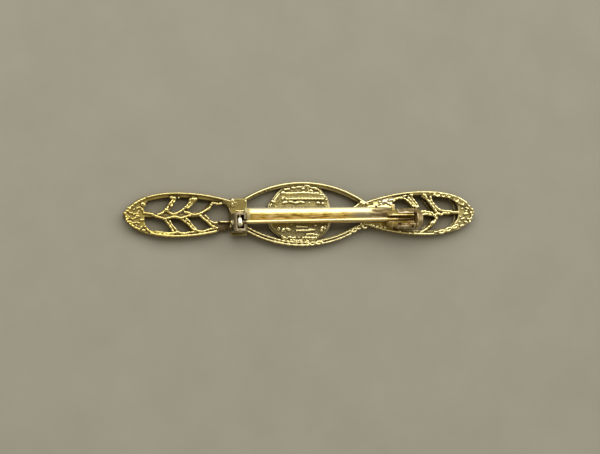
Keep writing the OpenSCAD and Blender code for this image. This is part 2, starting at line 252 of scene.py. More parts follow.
# The low web beside the hinge is painted dark brown as shade. Columns: axis, where it starts and ends to
# change, in metres, and the share of painted shade before and after.
WEB_PAINTED_SHADE = [("X", -0.0144, -0.0137, 0.0, 1.0), ("X", -0.0119, -0.0116, 1.0, 0.0),
             ("Y", 0.0012, 0.0016, 1.0, 0.0), ("Z", 0.00122, 0.00135, 1.0, 0.0)]
tree = leaf_gold.node_tree
axes = object_axes(tree)
web_shade = None
for axis, low, high, before, after in WEB_PAINTED_SHADE:
    share = span_node(tree, axes[axis], low, high, before, after)
    web_shade = share if web_shade is None else math_node(tree, "MULTIPLY", web_shade, share)
# painted shade on the low web
overlay(leaf_gold, web_shade, (0.1, 0.065, 0.02))
hold(leaf_gold, "Metallic", "MINIMUM", math_node(tree, "MULTIPLY_ADD", web_shade, -0.7, 1.0))


def grower(name, inputs):
    """A new tree that grows a mesh on paths or points, with its input and output nodes."""
    tree = bpy.data.node_groups.new(name, "GeometryNodeTree")
    inputs = [("Geometry", "NodeSocketGeometry", None)] + inputs + [("Material", "NodeSocketMaterial", None)]
    return (tree,) + group_sockets(tree, inputs, [("Geometry", "NodeSocketGeometry")])


def end_tree(tree, geometry, tree_in, tree_out):
    real = tree.nodes.new("GeometryNodeRealizeInstances")
    finish = tree.nodes.new("GeometryNodeSetMaterial")
    tree.links.new(geometry, real.inputs["Geometry"])
    tree.links.new(real.outputs["Geometry"], finish.inputs["Geometry"])
    tree.links.new(tree_in.outputs["Material"], finish.inputs["Material"])
    tree.links.new(finish.outputs["Geometry"], tree_out.inputs["Geometry"])


def stepped_curve(tree, geometry, step):
    """A curve along a path of edges, with points a step apart."""
    to_curve = tree.nodes.new("GeometryNodeMeshToCurve")
    even = tree.nodes.new("GeometryNodeResampleCurve")
    even.mode = "LENGTH"
    tree.links.new(geometry, to_curve.inputs["Mesh"])
    tree.links.new(to_curve.outputs["Curve"], even.inputs["Curve"])
    set_socket(tree, even.inputs["Length"], step)
    return even.outputs["Curve"]


# The wax patterns of such castings are built of twisted strands, so a strand has waists at even
# steps, and swells and thins a little by chance along its way.
strand_tree, strand_in, strand_out = grower("waisted strand", [
    ("Radius", "NodeSocketFloat", 0.2), ("Pitch", "NodeSocketFloat", 0.6), ("Waist", "NodeSocketFloat", 0.2),
    ("Unevenness", "NodeSocketFloat", 0.1), ("Seed", "NodeSocketFloat", 0.0)])
strand_line = stepped_curve(strand_tree, strand_in.outputs["Geometry"], 0.07)
along = strand_tree.nodes.new("GeometryNodeSplineParameter").outputs["Length"]
turns = math_node(strand_tree, "DIVIDE", along, strand_in.outputs["Pitch"])
turns = math_node(strand_tree, "ADD", turns, strand_in.outputs["Seed"])
wave = math_node(strand_tree, "SINE", math_node(strand_tree, "MULTIPLY", turns, math.tau))
wave = math_node(strand_tree, "MULTIPLY", wave, strand_in.outputs["Waist"])
blot = strand_tree.nodes.new("ShaderNodeTexNoise")
blot.noise_dimensions = "4D"
blot.inputs["Scale"].default_value = 1.1
strand_tree.links.new(strand_in.outputs["Seed"], blot.inputs["W"])
spot = strand_tree.nodes.new("GeometryNodeInputPosition").outputs["Position"]
strand_tree.links.new(spot, blot.inputs["Vector"])
uneven = math_node(strand_tree, "SUBTRACT", blot.outputs["Fac"], 0.5)
uneven = math_node(strand_tree, "MULTIPLY", uneven, strand_in.outputs["Unevenness"])
uneven = math_node(strand_tree, "MULTIPLY", uneven, 4.0)
girth = math_node(strand_tree, "ADD", math_node(strand_tree, "ADD", wave, uneven), 1.0)
girth = math_node(strand_tree, "MULTIPLY", girth, strand_in.outputs["Radius"])
wire_ring = strand_tree.nodes.new("GeometryNodeCurvePrimitiveCircle")
wire_ring.inputs["Resolution"].default_value = 10
wire_ring.inputs["Radius"].default_value = 1.0
tube = strand_tree.nodes.new("GeometryNodeCurveToMesh")
tube.inputs["Fill Caps"].default_value = True
for label, value in (("Curve", strand_line), ("Profile Curve", wire_ring.outputs["Curve"]), ("Scale", girth)):
    strand_tree.links.new(value, tube.inputs[label])
end_tree(strand_tree, tube.outputs["Mesh"], strand_in, strand_out)


def scatter_tree(name, along_path):
    """A tree that sets beads of chance size at even steps along a path, or on loose points."""
    inputs = [("Pitch", "NodeSocketFloat", 0.5)] if along_path else []
    inputs += [("Bead Radius", "NodeSocketFloat", 0.2), ("Size Spread", "NodeSocketFloat", 0.15),
               ("Seed", "NodeSocketInt", 1)]
    tree, tree_in, tree_out = grower(name, inputs)
    geometry = tree_in.outputs["Geometry"]
    if along_path:
        geometry = stepped_curve(tree, geometry, tree_in.outputs["Pitch"])
    bead = tree.nodes.new("GeometryNodeMeshIcoSphere")
    bead.inputs["Subdivisions"].default_value = 3
    tree.links.new(tree_in.outputs["Bead Radius"], bead.inputs["Radius"])
    spread = tree.nodes.new("FunctionNodeRandomValue")
    spread.data_type = "FLOAT"
    smallest, largest = [socket for socket in spread.inputs if socket.enabled][:2]
    tree.links.new(math_node(tree, "SUBTRACT", 1.0, tree_in.outputs["Size Spread"]), smallest)
    tree.links.new(math_node(tree, "ADD", 1.0, tree_in.outputs["Size Spread"]), largest)
    tree.links.new(tree_in.outputs["Seed"], spread.inputs["Seed"])
    put = tree.nodes.new("GeometryNodeInstanceOnPoints")
    tree.links.new(geometry, put.inputs["Points"])
    tree.links.new(bead.outputs["Mesh"], put.inputs["Instance"])
    tree.links.new([socket for socket in spread.outputs if socket.enabled][0], put.inputs["Scale"])
    end_tree(tree, put.outputs["Instances"], tree_in, tree_out)
    return tree


bead_tree = scatter_tree("beads along a path", True)


def add_object(name, data):
    holder = bpy.data.objects.new(name, data)
    bpy.context.scene.collection.objects.link(holder)
    return holder


def evaluated(holder):
    """The mesh that the modifiers of an object leave."""
    bpy.context.view_layer.update()
    depsgraph = bpy.context.evaluated_depsgraph_get()
    return bpy.data.meshes.new_from_object(holder.evaluated_get(depsgraph))


def mesh_of(bm, name):
    mesh = bpy.data.meshes.new(name)
    bm.to_mesh(mesh)
    bm.free()
    return mesh


def grown(tree, points, material, values, linked=True):
    """The mesh, in millimetres, that a tree grows on a path or on loose points."""
    mesh = bpy.data.meshes.new("path")
    steps = [(i, i + 1) for i in range(len(points) - 1)] if linked else []
    mesh.from_pydata([tuple(p) for p in points], steps, [])
    holder = add_object("path", mesh)
    modifier = holder.modifiers.new("grow", "NODES")
    modifier.node_group = tree
    keys = {item.name: item.identifier for item in tree.interface.items_tree if item.in_out == "INPUT"}
    for label, value in values.items():
        modifier[keys[label]] = value
    modifier[keys["Material"]] = material
    result = evaluated(holder)
    holder.modifiers.clear()
    bpy.data.objects.remove(holder)
    bpy.data.meshes.remove(mesh)
    return result


def strand(points, radius, pitch, waist, uneven, seed, material=leaf_gold):
    return grown(strand_tree, points, material, {
        "Radius": radius, "Pitch": pitch, "Waist": waist, "Unevenness": uneven, "Seed": float(seed)})


def beads(points, radius, pitch, spread, seed, material=leaf_gold):
    return grown(bead_tree, points, material, {
        "Bead Radius": radius, "Pitch": pitch, "Size Spread": spread, "Seed": seed})


def tube_faces(rings, m):
    """The faces round a run of rings of m places each, closed at both ends."""
    faces = [(i * m + j, i * m + (j + 1) % m, (i + 1) * m + (j + 1) % m, (i + 1) * m + j)
             for i in range(rings - 1) for j in range(m)]
    return faces + [tuple(range(m)), tuple((rings - 1) * m + j for j in reversed(range(m)))]


def swept(points, inward, profile):
    """A closed band along a path. The profile's columns are distance inward from the path and height."""
    mesh = bpy.data.meshes.new("band")
    verts = [(x + ix * t, y + iy * t, z) for (x, y), (ix, iy) in zip(points, inward) for t, z in profile]
    mesh.from_pydata(verts, [], tube_faces(len(points), len(profile)))
    return mesh


def wall(points, width, bottom, top, flare=0.0):
    """An upright wall along a path, as wide as width at its top and wider by flare each way at its foot."""
    sides = []
    for a, b in zip(points[:1] + points[:-1], points[1:] + points[-1:]):
        run = Vector((b[0] - a[0], b[1] - a[1])).normalized()
        sides.append((-run.y, run.x))
    half = width / 2
    foot = half + flare
    profile = [(-foot, bottom), (foot, bottom), (foot, bottom + 0.2), (half, bottom + 0.45),
               (half, top - 0.1), (half * 0.5, top), (-half * 0.5, top), (-half, top - 0.1),
               (-half, bottom + 0.45), (-foot, bottom + 0.2)]
    return swept([p[:2] for p in points], sides, profile)


def flowing(points, height, step=0.09):
    """A smooth path through the given places, at one height."""
    stops = [Vector(p) for p in points]
    stops = [stops[0] * 2 - stops[1]] + stops + [stops[-1] * 2 - stops[-2]]
    path = []
    for a, b, c, d in zip(stops, stops[1:], stops[2:], stops[3:]):
        count = max(int((c - b).length / step), 2)
        for i in range(count):
            t = i / count
            bend, twist = (a * 2 - b * 5 + c * 4 - d) * t * t, (b * 3 - a - c * 3 + d) * t ** 3
            spot = (b * 2 + (c - a) * t + bend + twist) / 2
            path.append((spot.x, spot.y, height))
    path.append((stops[-2].x, stops[-2].y, height))
    return path


def slab(outline, bottom, top):
    """A flat plate with the given outline."""
    mesh = bpy.data.meshes.new("slab")
    n = len(outline)
    verts = [(x, y, bottom) for x, y in outline] + [(x, y, top) for x, y in outline]
    faces = [tuple(reversed(range(n))), tuple(range(n, 2 * n))]
    faces += [(i, (i + 1) % n, n + (i + 1) % n, n + i) for i in range(n)]
    mesh.from_pydata(verts, [], faces)
    return mesh


def blob(x, y, z, rx, ry, rz, turn=0.0):
    """A drop of metal, longer than wide, turned by so many degrees."""
    place = Matrix.Translation((x, y, z)) @ Matrix.Rotation(math.radians(turn), 4, "Z")
    place = place @ Matrix.Diagonal((rx, ry, rz, 1.0))
    bm = bmesh.new()
    bmesh.ops.create_icosphere(bm, subdivisions=3, radius=1.0, matrix=place)
    return mesh_of(bm, "blob")


def drops(rows, height):
    """Drops of metal at one height: x, y, half length, half width and turn in degrees."""
    return [blob(x, y, height, long, wide, 0.8 * wide, turn) for x, y, long, wide, turn in rows]


def grain_row(rows, height, seed):
    """Single grains, each a little different by chance: x, y and radius."""
    parts = []
    rng = random.Random(seed)
    for x, y, size in rows:
        z = height + rng.uniform(-0.05, 0.05)
        long = size * rng.uniform(0.9, 1.2)
        parts.append(blob(x, y, z, long, size * 0.85, size * 0.8, rng.uniform(0, 180)))
    return parts


def read_points(mesh, what):
    """The places ("co") or normals ("normal") of a mesh's points, one row a point."""
    values = np.zeros(len(mesh.vertices) * 3)
    mesh.vertices.foreach_get(what, values)
    return values.reshape(-1, 3)


def write_layer(mesh, name, values):
    layer = mesh.attributes.new(name, "FLOAT", "POINT")
    layer.data.foreach_set("value", values.astype(np.float32))


def relief_of(mesh, rounds, depth):
    """Writes how far each point lies below (1) or above (-1) the softened surface around it."""
    count = len(mesh.vertices)
    places = read_points(mesh, "co")
    edge = np.zeros(len(mesh.edges) * 2, np.int64)
    mesh.edges.foreach_get("vertices", edge)
    a, b = edge.reshape(-1, 2).T
    degree = np.maximum(np.bincount(a, minlength=count) + np.bincount(b, minlength=count), 1)
    soft = places.copy()
    for _ in range(rounds):
        total = np.zeros_like(soft)
        for axis in range(3):
            total[:, axis] = (np.bincount(a, weights=soft[b, axis], minlength=count)
                              + np.bincount(b, weights=soft[a, axis], minlength=count))
        soft = total / degree[:, None]
    below = ((soft - places) * read_points(mesh, "normal")).sum(axis=1)
    write_layer(mesh, "relief", np.clip(below / depth, -1.0, 1.0))


def shelter_of(mesh):
    """Writes how much of the sky above each point the metal around it hides, from 0 to 1."""
    cell, margin, directions = 0.06, 30, 12
    distances = (0.12, 0.2, 0.32, 0.5, 0.8, 1.2, 1.7)
    places = read_points(mesh, "co")
    grid = ((places[:, :2] - places[:, :2].min(axis=0)) / cell).astype(int) + margin
    heights = np.zeros(grid.max(axis=0) + margin + 1)
    np.maximum.at(heights, (grid[:, 0], grid[:, 1]), places[:, 2])
    hidden = np.zeros(len(places))
    for turn in range(directions):
        angle = math.tau * (turn + 0.5) / directions
        horizon = np.zeros(len(places))
        for far in distances:
            gx = grid[:, 0] + int(round(math.cos(angle) * far / cell))
            gy = grid[:, 1] + int(round(math.sin(angle) * far / cell))
            slope = (heights[gx, gy] - places[:, 2]) / far
            horizon = np.maximum(horizon, slope / np.sqrt(1 + slope ** 2))
        hidden += np.maximum(horizon, 0.0) / directions
    write_layer(mesh, "shelter", np.clip(hidden, 0.0, 1.0))


def dent(mesh, dimples, lowest):
    """Presses round dimples into what lies above lowest. A dimple is x, y, radius and depth."""
    places = read_points(mesh, "co")
    drop = np.zeros(len(places))
    for x, y, radius, depth in dimples:
        far = np.hypot(places[:, 0] - x, places[:, 1] - y) / radius
        drop = np.maximum(drop, np.where(far < 1, depth * (1 - far ** 2), 0.0))
    places[:, 2] -= np.where(places[:, 2] > lowest, drop, 0.0)
    mesh.vertices.foreach_set("co", places.reshape(-1))


def joined(parts):
    bm = bmesh.new()
    for part in parts:
        bm.from_mesh(part)
        bpy.data.meshes.remove(part)
    return mesh_of(bm, "joined")


def worked(mesh, steps):
    """The mesh that is left when modifiers, each a kind and its settings, have worked on it."""
    holder = add_object("work", mesh)
    for kind, settings in steps:
        modifier = holder.modifiers.new(kind, kind)
        for label, value in settings.items():
            setattr(modifier, label, value)
    result = evaluated(holder)
    holder.modifiers.clear()
    bpy.data.objects.remove(holder)
    bpy.data.meshes.remove(mesh)
    return result


def placed(name, mesh, material, flat_ends=False):
    """The finished piece, in metres, of a mesh made in millimetres."""
    mesh.name = name
    mesh.transform(Matrix.Scale(0.001, 4))
    smooth = [len(face.vertices) == 4 or not flat_ends for face in mesh.polygons]
    mesh.polygons.foreach_set("use_smooth", smooth)
    mesh.materials.clear()
    mesh.materials.append(material)
    return add_object(name, mesh)


def cast(name, parts, material, voxel, soften, cutters=(), rounds=10, depth=0.07, dents=(), lowest=1.0,
         kept=1.0):
    """Fuses parts made in millimetres into one skin, less the cutters, as molten metal fuses them."""
    fuse = ("REMESH", {"mode": "VOXEL", "voxel_size": voxel})
    steps = [fuse]
    if cutters:
        tool = add_object("cutter", joined(cutters))
        cut = {"operation": "DIFFERENCE", "solver": "EXACT", "use_self": True, "object": tool}
        steps += [("BOOLEAN", cut), fuse]
    skin = worked(joined(parts), steps + [("SMOOTH", {"factor": 0.5, "iterations": soften})])
    if cutters:
        bpy.data.objects.remove(tool)
    if dents:
        dent(skin, dents, lowest)
    relief_of(skin, rounds, depth)
    shelter_of(skin)
    if kept < 1.0:
        # flat places need fewer faces than strands do
        skin = worked(skin, [("DECIMATE", {"ratio": kept})])
    return placed(name, skin, material)


LEAF_HALF, LEAF_WIDE, LEAF_START, LEAF_TIP = 3.58, 21.0, 10.55, 29.215
LEAF_INNER_R, LEAF_SHOULDER_R, LEAF_NOSE_R = 31.8, 17.0, 5.6
NOSE_START, NOSE_MIDDLE, NOSE_DROP = 25.76, 24.192, 2.476
EDGE_STEP, VEIN_FOOT, LEAF_VOXEL, LEAF_FACES_KEPT = 0.16, 0.15, 0.06, 0.74
# past the end of its lip an upper rim is this low, and the lower one where it meets the web
LIP_END, LIPLESS_TOP, WEB_END, WEB_RIM_TOP = {-1: 25.6, 1: 20.0}, 1.4, 13.9, 0.75
# Rim profiles, as distance inward and height: a thin lip over a face that slopes to the gaps, and a
# low ledge that carries strands.
LIP_RIM = [
    (0.08, 0.0), (0.0, 0.2), (0.0, 1.78), (0.05, 1.93), (0.14, 1.99), (0.22, 1.93), (0.27, 1.7),
    (0.36, 1.46), (0.55, 1.36), (0.68, 1.28), (0.76, 1.05), (0.76, 0.3), (0.64, 0.0)]
ROPE_RIM = [
    (0.08, 0.0), (0.0, 0.2), (0.0, 1.25), (0.1, 1.36), (0.3, 1.28), (0.6, 1.28), (0.72, 1.28), (0.8, 1.1),
    (0.8, 0.3), (0.68, 0.0)]
# Strands on the rims of the leaves, by side and by upper or lower rim. Columns: distance inward, height,
# where it starts and ends, radius, pitch, waist, unevenness and what it adds to the seed.
RIM_STRANDS = {
    (-1, 1): [(0.14, 1.87, 0, 25.6, 0.14, 2.3, 0.06, 0.06, 1)],
    (1, 1): [(0.14, 1.87, 0, 20.0, 0.14, 2.3, 0.06, 0.06, 1)],
    (-1, -1): [(0.19, 1.6, 14.1, 25.2, 0.19, 0.9, 0.12, 0.08, 2),
               (0.66, 1.5, 13.7, 24.6, 0.15, 0.7, 0.16, 0.12, 3)],
    (1, -1): [(0.17, 1.6, 0, 22.2, 0.17, 0.9, 0.16, 0.1, 4),
              (0.45, 1.5, 22.0, 22.9, 0.17, 0.9, 0.16, 0.1, 5)]}
# Long links at the end of the right leaf's lower rim: x, y, half length, half width and turn.
LINKS = [
    (23.42, -3.07, 0.65, 0.37, 8), (24.59, -2.7, 0.65, 0.37, 20), (25.71, -2.27, 0.65, 0.36, 24)]


def leaf_edge():
    """The outline from the oval to the tip along one side: points and the directions inward."""
    points, inward = [], []
    for middle_x, middle_y, radius, start_x, end_x in (
            (LEAF_WIDE, LEAF_HALF - LEAF_INNER_R, LEAF_INNER_R, LEAF_START, LEAF_WIDE),
            (LEAF_WIDE, LEAF_HALF - LEAF_SHOULDER_R, LEAF_SHOULDER_R, LEAF_WIDE, NOSE_START),
            (NOSE_MIDDLE, -NOSE_DROP, LEAF_NOSE_R, NOSE_START, LEAF_TIP)):
        first, last = math.asin((start_x - middle_x) / radius), math.asin((end_x - middle_x) / radius)
        count = max(int(abs(last - first) * radius / EDGE_STEP), 2)
        for i in range(count):
            angle = first + (last - first) * i / count
            points.append((middle_x + radius * math.sin(angle), middle_y + radius * math.cos(angle)))
            inward.append((-math.sin(angle), -math.cos(angle)))
    return points, inward


def offset_path(points, inward, distance, height, low_x=0.0, high_x=99.0):
    """The path at a distance inward from an outline, between two places along the bar."""
    return [(x + ix * distance, y + iy * distance, height) for (x, y), (ix, iy) in zip(points, inward)
            if low_x < x < high_x and abs(y) > distance * abs(iy) * 0.9]


def edge_beads(line, turned, seed, start=0.0):
    """The two rows of beads on the outer wall of a rim."""
    return [beads(offset_path(line, turned, 0.15, height, start), 0.26, 1.05, 0.08, seed)
            for height in (0.36, 0.8)]


def link_loop(x, y, z, long, wide, turn, seed):
    """One long link of strand, closed on itself."""
    path, steps = [], 28
    c, s = math.cos(math.radians(turn)), math.sin(math.radians(turn))
    for i in range(steps + 1):
        angle = math.tau * i / steps
        u, v = (long - 0.15) * math.cos(angle), (wide - 0.15) * math.sin(angle)
        path.append((x + u * c - v * s, y + u * s + v * c, z))
    return strand(path, 0.19, 0.7, 0.08, 0.1, seed)


def rim_parts(side, above, seed):
    """The rim of one leaf along its upper side (above = 1) or its lower side (above = -1)."""
    edge, inward = leaf_edge()
    line = [(x, y * above) for x, y in edge] + [(LEAF_TIP, 0.0)]
    turned = [(ix, iy * above) for ix, iy in inward] + [(-1.0, 0.0)]
    parts = [swept(line, turned, LIP_RIM if above > 0 else ROPE_RIM)]
    for vert in parts[0].vertices:
        if above > 0 and vert.co.x > LIP_END[side]:
            vert.co.z = min(vert.co.z, LIPLESS_TOP)
        if above < 0 and side < 0 and vert.co.x < WEB_END:
            vert.co.z = min(vert.co.z, WEB_RIM_TOP)
    parts += edge_beads(line, turned, seed)
    for inset, height, low_x, high_x, radius, pitch, waist, uneven, more in RIM_STRANDS[side, above]:
        path = offset_path(line, turned, inset, height, low_x, high_x)
        parts.append(strand(path, radius, pitch, waist, uneven, seed + more))
    if side > 0 and above < 0:
        parts += [link_loop(x, y, 1.6, long, wide, turn, seed + 6) for x, y, long, wide, turn in LINKS]
    if side < 0:
        for part in parts:
            part.transform(Matrix.Diagonal((-1.0, 1.0, 1.0, 1.0)))
            part.flip_normals()
    return parts


def vein(path, width, top, flare):
    """A vein or a midrib: a wall through the given places, on a wider foot."""
    return wall(flowing(path, 1.0), width, VEIN_FOOT, top, flare)


def tip_slab(inner, side, top):
    """The solid tip of a leaf, from its inner edge, given from the upper rim to the lower one."""
    inset = 0.3
    border = [(x, (x + ix * inset) * side, y + iy * inset)
              for (x, y), (ix, iy) in zip(*leaf_edge()) if y > inset]
    above = [(x, y) for place, x, y in border if place > abs(inner[0][0])]
    below = [(x, -y) for place, x, y in border if place > abs(inner[-1][0])]
    outline = list(inner) + below + [((LEAF_TIP - 0.35) * side, 0.0)] + list(reversed(above))
    return slab(outline if side > 0 else list(reversed(outline)), 0.2, top)


LEFT_VEINS = [
    [(-22.2, 0.3), (-21.4, 1.8), (-20.86, 3.0)], [(-22.1, -0.5), (-21.4, -1.8), (-20.8, -3.0)],
    [(-19.1, 0.7), (-18.3, 1.75), (-17.6, 2.7)], [(-19.4, -0.5), (-18.45, -1.6), (-17.6, -2.7)],
    [(-16.5, 0.2), (-15.4, 1.0), (-14.5, 2.1)], [(-16.5, -0.1), (-15.45, -1.0), (-14.1, -2.2)]]
LEFT_MIDRIB = [(-25.9, 0.0), (-23.6, -0.05), (-21.0, -0.12), (-18.4, 0.1), (-16.2, 0.1)]
LEFT_MIDRIB_CORE = [(-23.4, -0.1), (-21.0, -0.08), (-18.4, 0.0), (-16.6, 0.1)]
# Strands on the veins: radius, height and the places they pass.
LEFT_STRANDS = [
    (0.19, 1.52, [(-26.2, 0.43), (-25.6, 0.29), (-24.9, 0.21), (-24.3, -0.07), (-23.8, -0.31), (-23.3, -0.4),
        (-22.65, -0.59), (-21.8, -0.42), (-21.0, -0.3), (-20.0, -0.5), (-19.4, -0.32), (-18.6, -0.12),
        (-17.9, -0.04)]),
    (0.17, 1.52, [(-23.9, 0.06), (-23.1, 0.29), (-22.6, 0.72), (-22.3, 0.91), (-22.0, 0.47), (-21.3, 0.15),
        (-20.7, 0.27), (-20.0, 0.62), (-19.5, 0.94), (-19.3, 1.18), (-19.0, 1.41), (-18.65, 1.8),
        (-18.3, 2.2), (-17.8, 2.45)]),
    (0.18, 1.54, [(-19.5, 0.45), (-18.9, 0.37), (-18.2, 0.07), (-17.6, 0.02), (-16.9, 0.18), (-16.2, 0.54),
        (-15.7, 0.83), (-15.3, 1.06), (-15.0, 1.54), (-14.8, 1.86)]),
    (0.15, 1.55, [(-22.3, 0.96), (-22.0, 1.44), (-21.7, 1.92), (-21.35, 2.3), (-21.2, 2.7)]),
    (0.14, 1.5, [(-21.6, 1.27), (-21.3, 1.83), (-20.95, 2.3), (-20.8, 2.63)]),
    (0.15, 1.5, [(-22.65, -0.72), (-22.3, -1.2), (-21.85, -1.77), (-21.55, -2.26), (-21.3, -2.74)]),
    (0.14, 1.5, [(-21.85, -0.9), (-21.6, -1.5), (-21.2, -2.0), (-20.8, -2.45), (-20.7, -2.9)]),
    (0.15, 1.52, [(-19.0, 1.0), (-18.5, 1.33), (-18.1, 1.8), (-17.65, 2.2)]),
    (0.16, 1.5, [(-20.0, -0.58), (-19.4, -1.07), (-18.75, -1.56), (-18.3, -2.12), (-17.8, -2.53)]),
    (0.14, 1.5, [(-19.2, -0.59), (-18.7, -1.0), (-18.1, -1.8), (-17.6, -2.3)]),
    (0.16, 1.52, [(-14.9, 1.87), (-14.4, 1.86), (-13.9, 1.7), (-13.2, 1.8)]),
    (0.16, 1.52, [(-16.9, -0.05), (-16.6, -0.37), (-16.25, -0.7), (-15.8, -1.0), (-15.3, -1.5),
        (-14.8, -1.88), (-14.0, -2.2)]),
    (0.14, 1.5, [(-16.1, -0.06), (-15.75, -0.38), (-15.45, -0.75), (-15.1, -1.1), (-14.5, -1.32),
        (-14.0, -1.25)]),
    (0.15, 1.5, [(-25.95, -1.73), (-25.5, -2.35), (-24.7, -2.78), (-23.9, -2.95), (-22.6, -3.1),
        (-21.6, -3.0), (-20.6, -2.78), (-19.9, -2.98), (-19.3, -3.0), (-18.6, -2.8)]),
    (0.16, 1.52, [(-17.8, -2.37), (-17.3, -2.6), (-16.5, -2.7), (-15.8, -2.5), (-15.1, -2.3)])]
LEFT_TIP_INNER = [
    (-24.8, 2.75), (-25.6, 1.97), (-25.92, 1.33), (-26.0, 0.53), (-25.94, -0.6), (-25.95, -1.23),
    (-25.56, -1.96), (-24.8, -2.75)]
LEFT_TIP_STRANDS = [
    [(-27.3, 1.06), (-26.81, 1.25), (-26.49, 1.17), (-26.17, 0.76), (-25.77, 0.31)],
    [(-28.69, 0.86), (-28.46, 0.49), (-28.14, 0.35), (-27.81, 0.46)],
    [(-28.95, 0.1), (-28.55, -0.18), (-28.24, -0.42), (-27.91, -0.58), (-27.5, -0.43), (-27.17, -0.32)],
    [(-28.18, -1.38), (-27.68, -1.22), (-27.19, -1.15), (-26.71, -1.31)],
    [(-25.98, -1.64), (-25.59, -2.12), (-25.19, -2.53)], [(-28.36, 1.18), (-28.11, 1.37), (-27.62, 1.46)],
    [(-27.82, 0.09), (-27.32, 0.28), (-26.84, 0.21)]]
LEFT_TIP_DROPS = [
    (-25.81, 2.68, 0.42, 0.21, 15), (-26.38, 2.44, 0.36, 0.2, 25), (-26.88, 2.21, 0.29, 0.2, 20),
    (-27.41, 1.89, 0.46, 0.23, 38), (-27.95, 1.49, 0.28, 0.18, 45), (-28.32, 1.08, 0.23, 0.18, 40),
    (-28.79, 0.72, 0.28, 0.21, -10), (-29.07, 0.29, 0.36, 0.23, -45), (-26.12, 1.72, 0.49, 0.36, -40),
    (-27.05, -0.15, 0.42, 0.23, -8), (-26.38, -0.73, 0.46, 0.23, 5), (-28.5, -1.01, 0.41, 0.2, 5),
    (-27.82, -1.76, 0.36, 0.21, -40), (-27.34, -2.03, 0.31, 0.21, -15), (-26.91, -2.24, 0.28, 0.21, -10),
    (-26.16, -2.41, 0.36, 0.21, -10), (-28.7, -0.53, 0.23, 0.16, 20), (-26.52, -1.93, 0.24, 0.2, 30),
    (-28.61, 1.2, 0.2, 0.15, 50), (-28.94, -0.26, 0.24, 0.18, -60), (-27.64, 0.93, 0.23, 0.16, 10),
    (-26.92, 0.61, 0.23, 0.16, 30), (-28.1, -1.14, 0.23, 0.15, -10), (-27.3, -1.6, 0.24, 0.15, -20),
    (-28.89, -0.71, 0.23, 0.18, -50), (-28.3, -1.43, 0.26, 0.16, -40)]
LEFT_GRAINS = [
    (-22.29, 0.8, 0.36), (-21.18, 2.68, 0.32), (-21.0, 2.72, 0.26), (-21.7, 1.92, 0.25), (-20.3, 2.74, 0.2),
    (-17.9, 2.46, 0.36), (-17.55, 2.5, 0.34), (-18.5, 1.89, 0.24), (-19.25, 1.21, 0.28),
    (-19.34, -1.07, 0.25), (-14.8, 1.82, 0.26), (-14.4, 1.83, 0.2), (-13.4, 1.76, 0.22), (-13.65, 1.74, 0.2),
    (-15.35, 1.02, 0.25), (-15.15, -2.31, 0.24), (-14.6, -1.92, 0.22)]
WEB_OUTLINE = [
    (-14.9, -1.9), (-14.4, -2.75), (-13.2, -2.5), (-11.7, -2.2), (-11.7, -1.0), (-13.9, -1.02),
    (-14.5, -1.2)]
LEFT_VEIN_DROPS = [
    (-21.48, 2.82, 0.33, 0.24, 10), (-20.99, 2.65, 0.34, 0.28, -20), (-18.34, 2.47, 0.33, 0.24, 30),
    (-17.92, 2.7, 0.36, 0.28, 10), (-17.55, 2.44, 0.33, 0.23, -25), (-22.44, 0.8, 0.37, 0.33, 90),
    (-26.18, 1.75, 0.39, 0.29, -30)]

left_parts = rim_parts(-1, 1, 40) + rim_parts(-1, -1, 44)
left_parts += [vein(path, 0.42, 1.35, 0.16) for path in LEFT_VEINS]
left_parts.append(vein(LEFT_MIDRIB, 0.5, 1.32, 0.12))
for row, (radius, height, path) in enumerate(LEFT_STRANDS):
    left_parts.append(strand(flowing(path, height), radius * 1.22, 0.7, 0.11, 0.2, 100 + row))
left_parts.append(vein(LEFT_MIDRIB_CORE, 0.8, 1.3, 0.1))
left_parts.append(tip_slab(LEFT_TIP_INNER, -1, 1.36))
for row, path in enumerate(LEFT_TIP_STRANDS):
    left_parts.append(strand(flowing(path, 1.46), 0.15, 0.55, 0.16, 0.2, 140 + row))
left_parts += drops(LEFT_TIP_DROPS, 1.52) + grain_row(LEFT_GRAINS, 1.62, 4)
# the solid web at the foot of the last gap, and the fine wire along its edge
left_parts.append(slab(WEB_OUTLINE, 0.2, 0.7))
left_parts.append(wall([(-13.7, -1.14), (-12.9, -1.15), (-11.9, -1.17)], 0.16, 0.3, 1.4))
web_wire = [(-13.6, -1.14, 1.42), (-12.9, -1.15, 1.44), (-12.0, -1.17, 1.42)]
left_parts.append(strand(web_wire, 0.12, 3.0, 0.02, 0.05, 9))
left_parts += drops(LEFT_VEIN_DROPS, 1.55)
left_leaf = cast("left_leaf", left_parts, leaf_gold, LEAF_VOXEL, 1, kept=LEAF_FACES_KEPT)
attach(left_leaf, "bar")
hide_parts("brooch_bar")


# The right leaf.
# The same casting seen past the catch: two veins and a midrib, a broad flat upper rim with dimples, a
# roped lower rim, and at its inner end the solid bridge that the catch is soldered on.


def even_steps(points, count):
    """The same path in count equal steps."""
    spots = [Vector(p[:2]) for p in points]
    far = [0.0]
    for a, b in zip(spots, spots[1:]):
        far.append(far[-1] + (b - a).length)
    result = []
    for i in range(count + 1):
        goal = far[-1] * i / count
        k = min(max(j for j in range(len(far)) if far[j] <= goal + 1e-9), len(far) - 2)
        result.append(spots[k].lerp(spots[k + 1], (goal - far[k]) / (far[k + 1] - far[k])))
    return result


def sloped_band(outer, inner, outer_top, inner_top, bottom):
    """A band between two lines whose top goes evenly from the height of one line to that of the other."""
    mesh = bpy.data.meshes.new("band")
    verts, count, m = [], 80, 5
    for a, b in zip(even_steps(outer, count), even_steps(inner, count)):
        c = a.lerp(b, 0.12)
        verts += [(a.x, a.y, bottom), (a.x, a.y, outer_top - 0.12), (c.x, c.y, outer_top)]
        verts += [(b.x, b.y, inner_top), (b.x, b.y, bottom)]
    mesh.from_pydata(verts, [], tube_faces(count + 1, m))
    return mesh


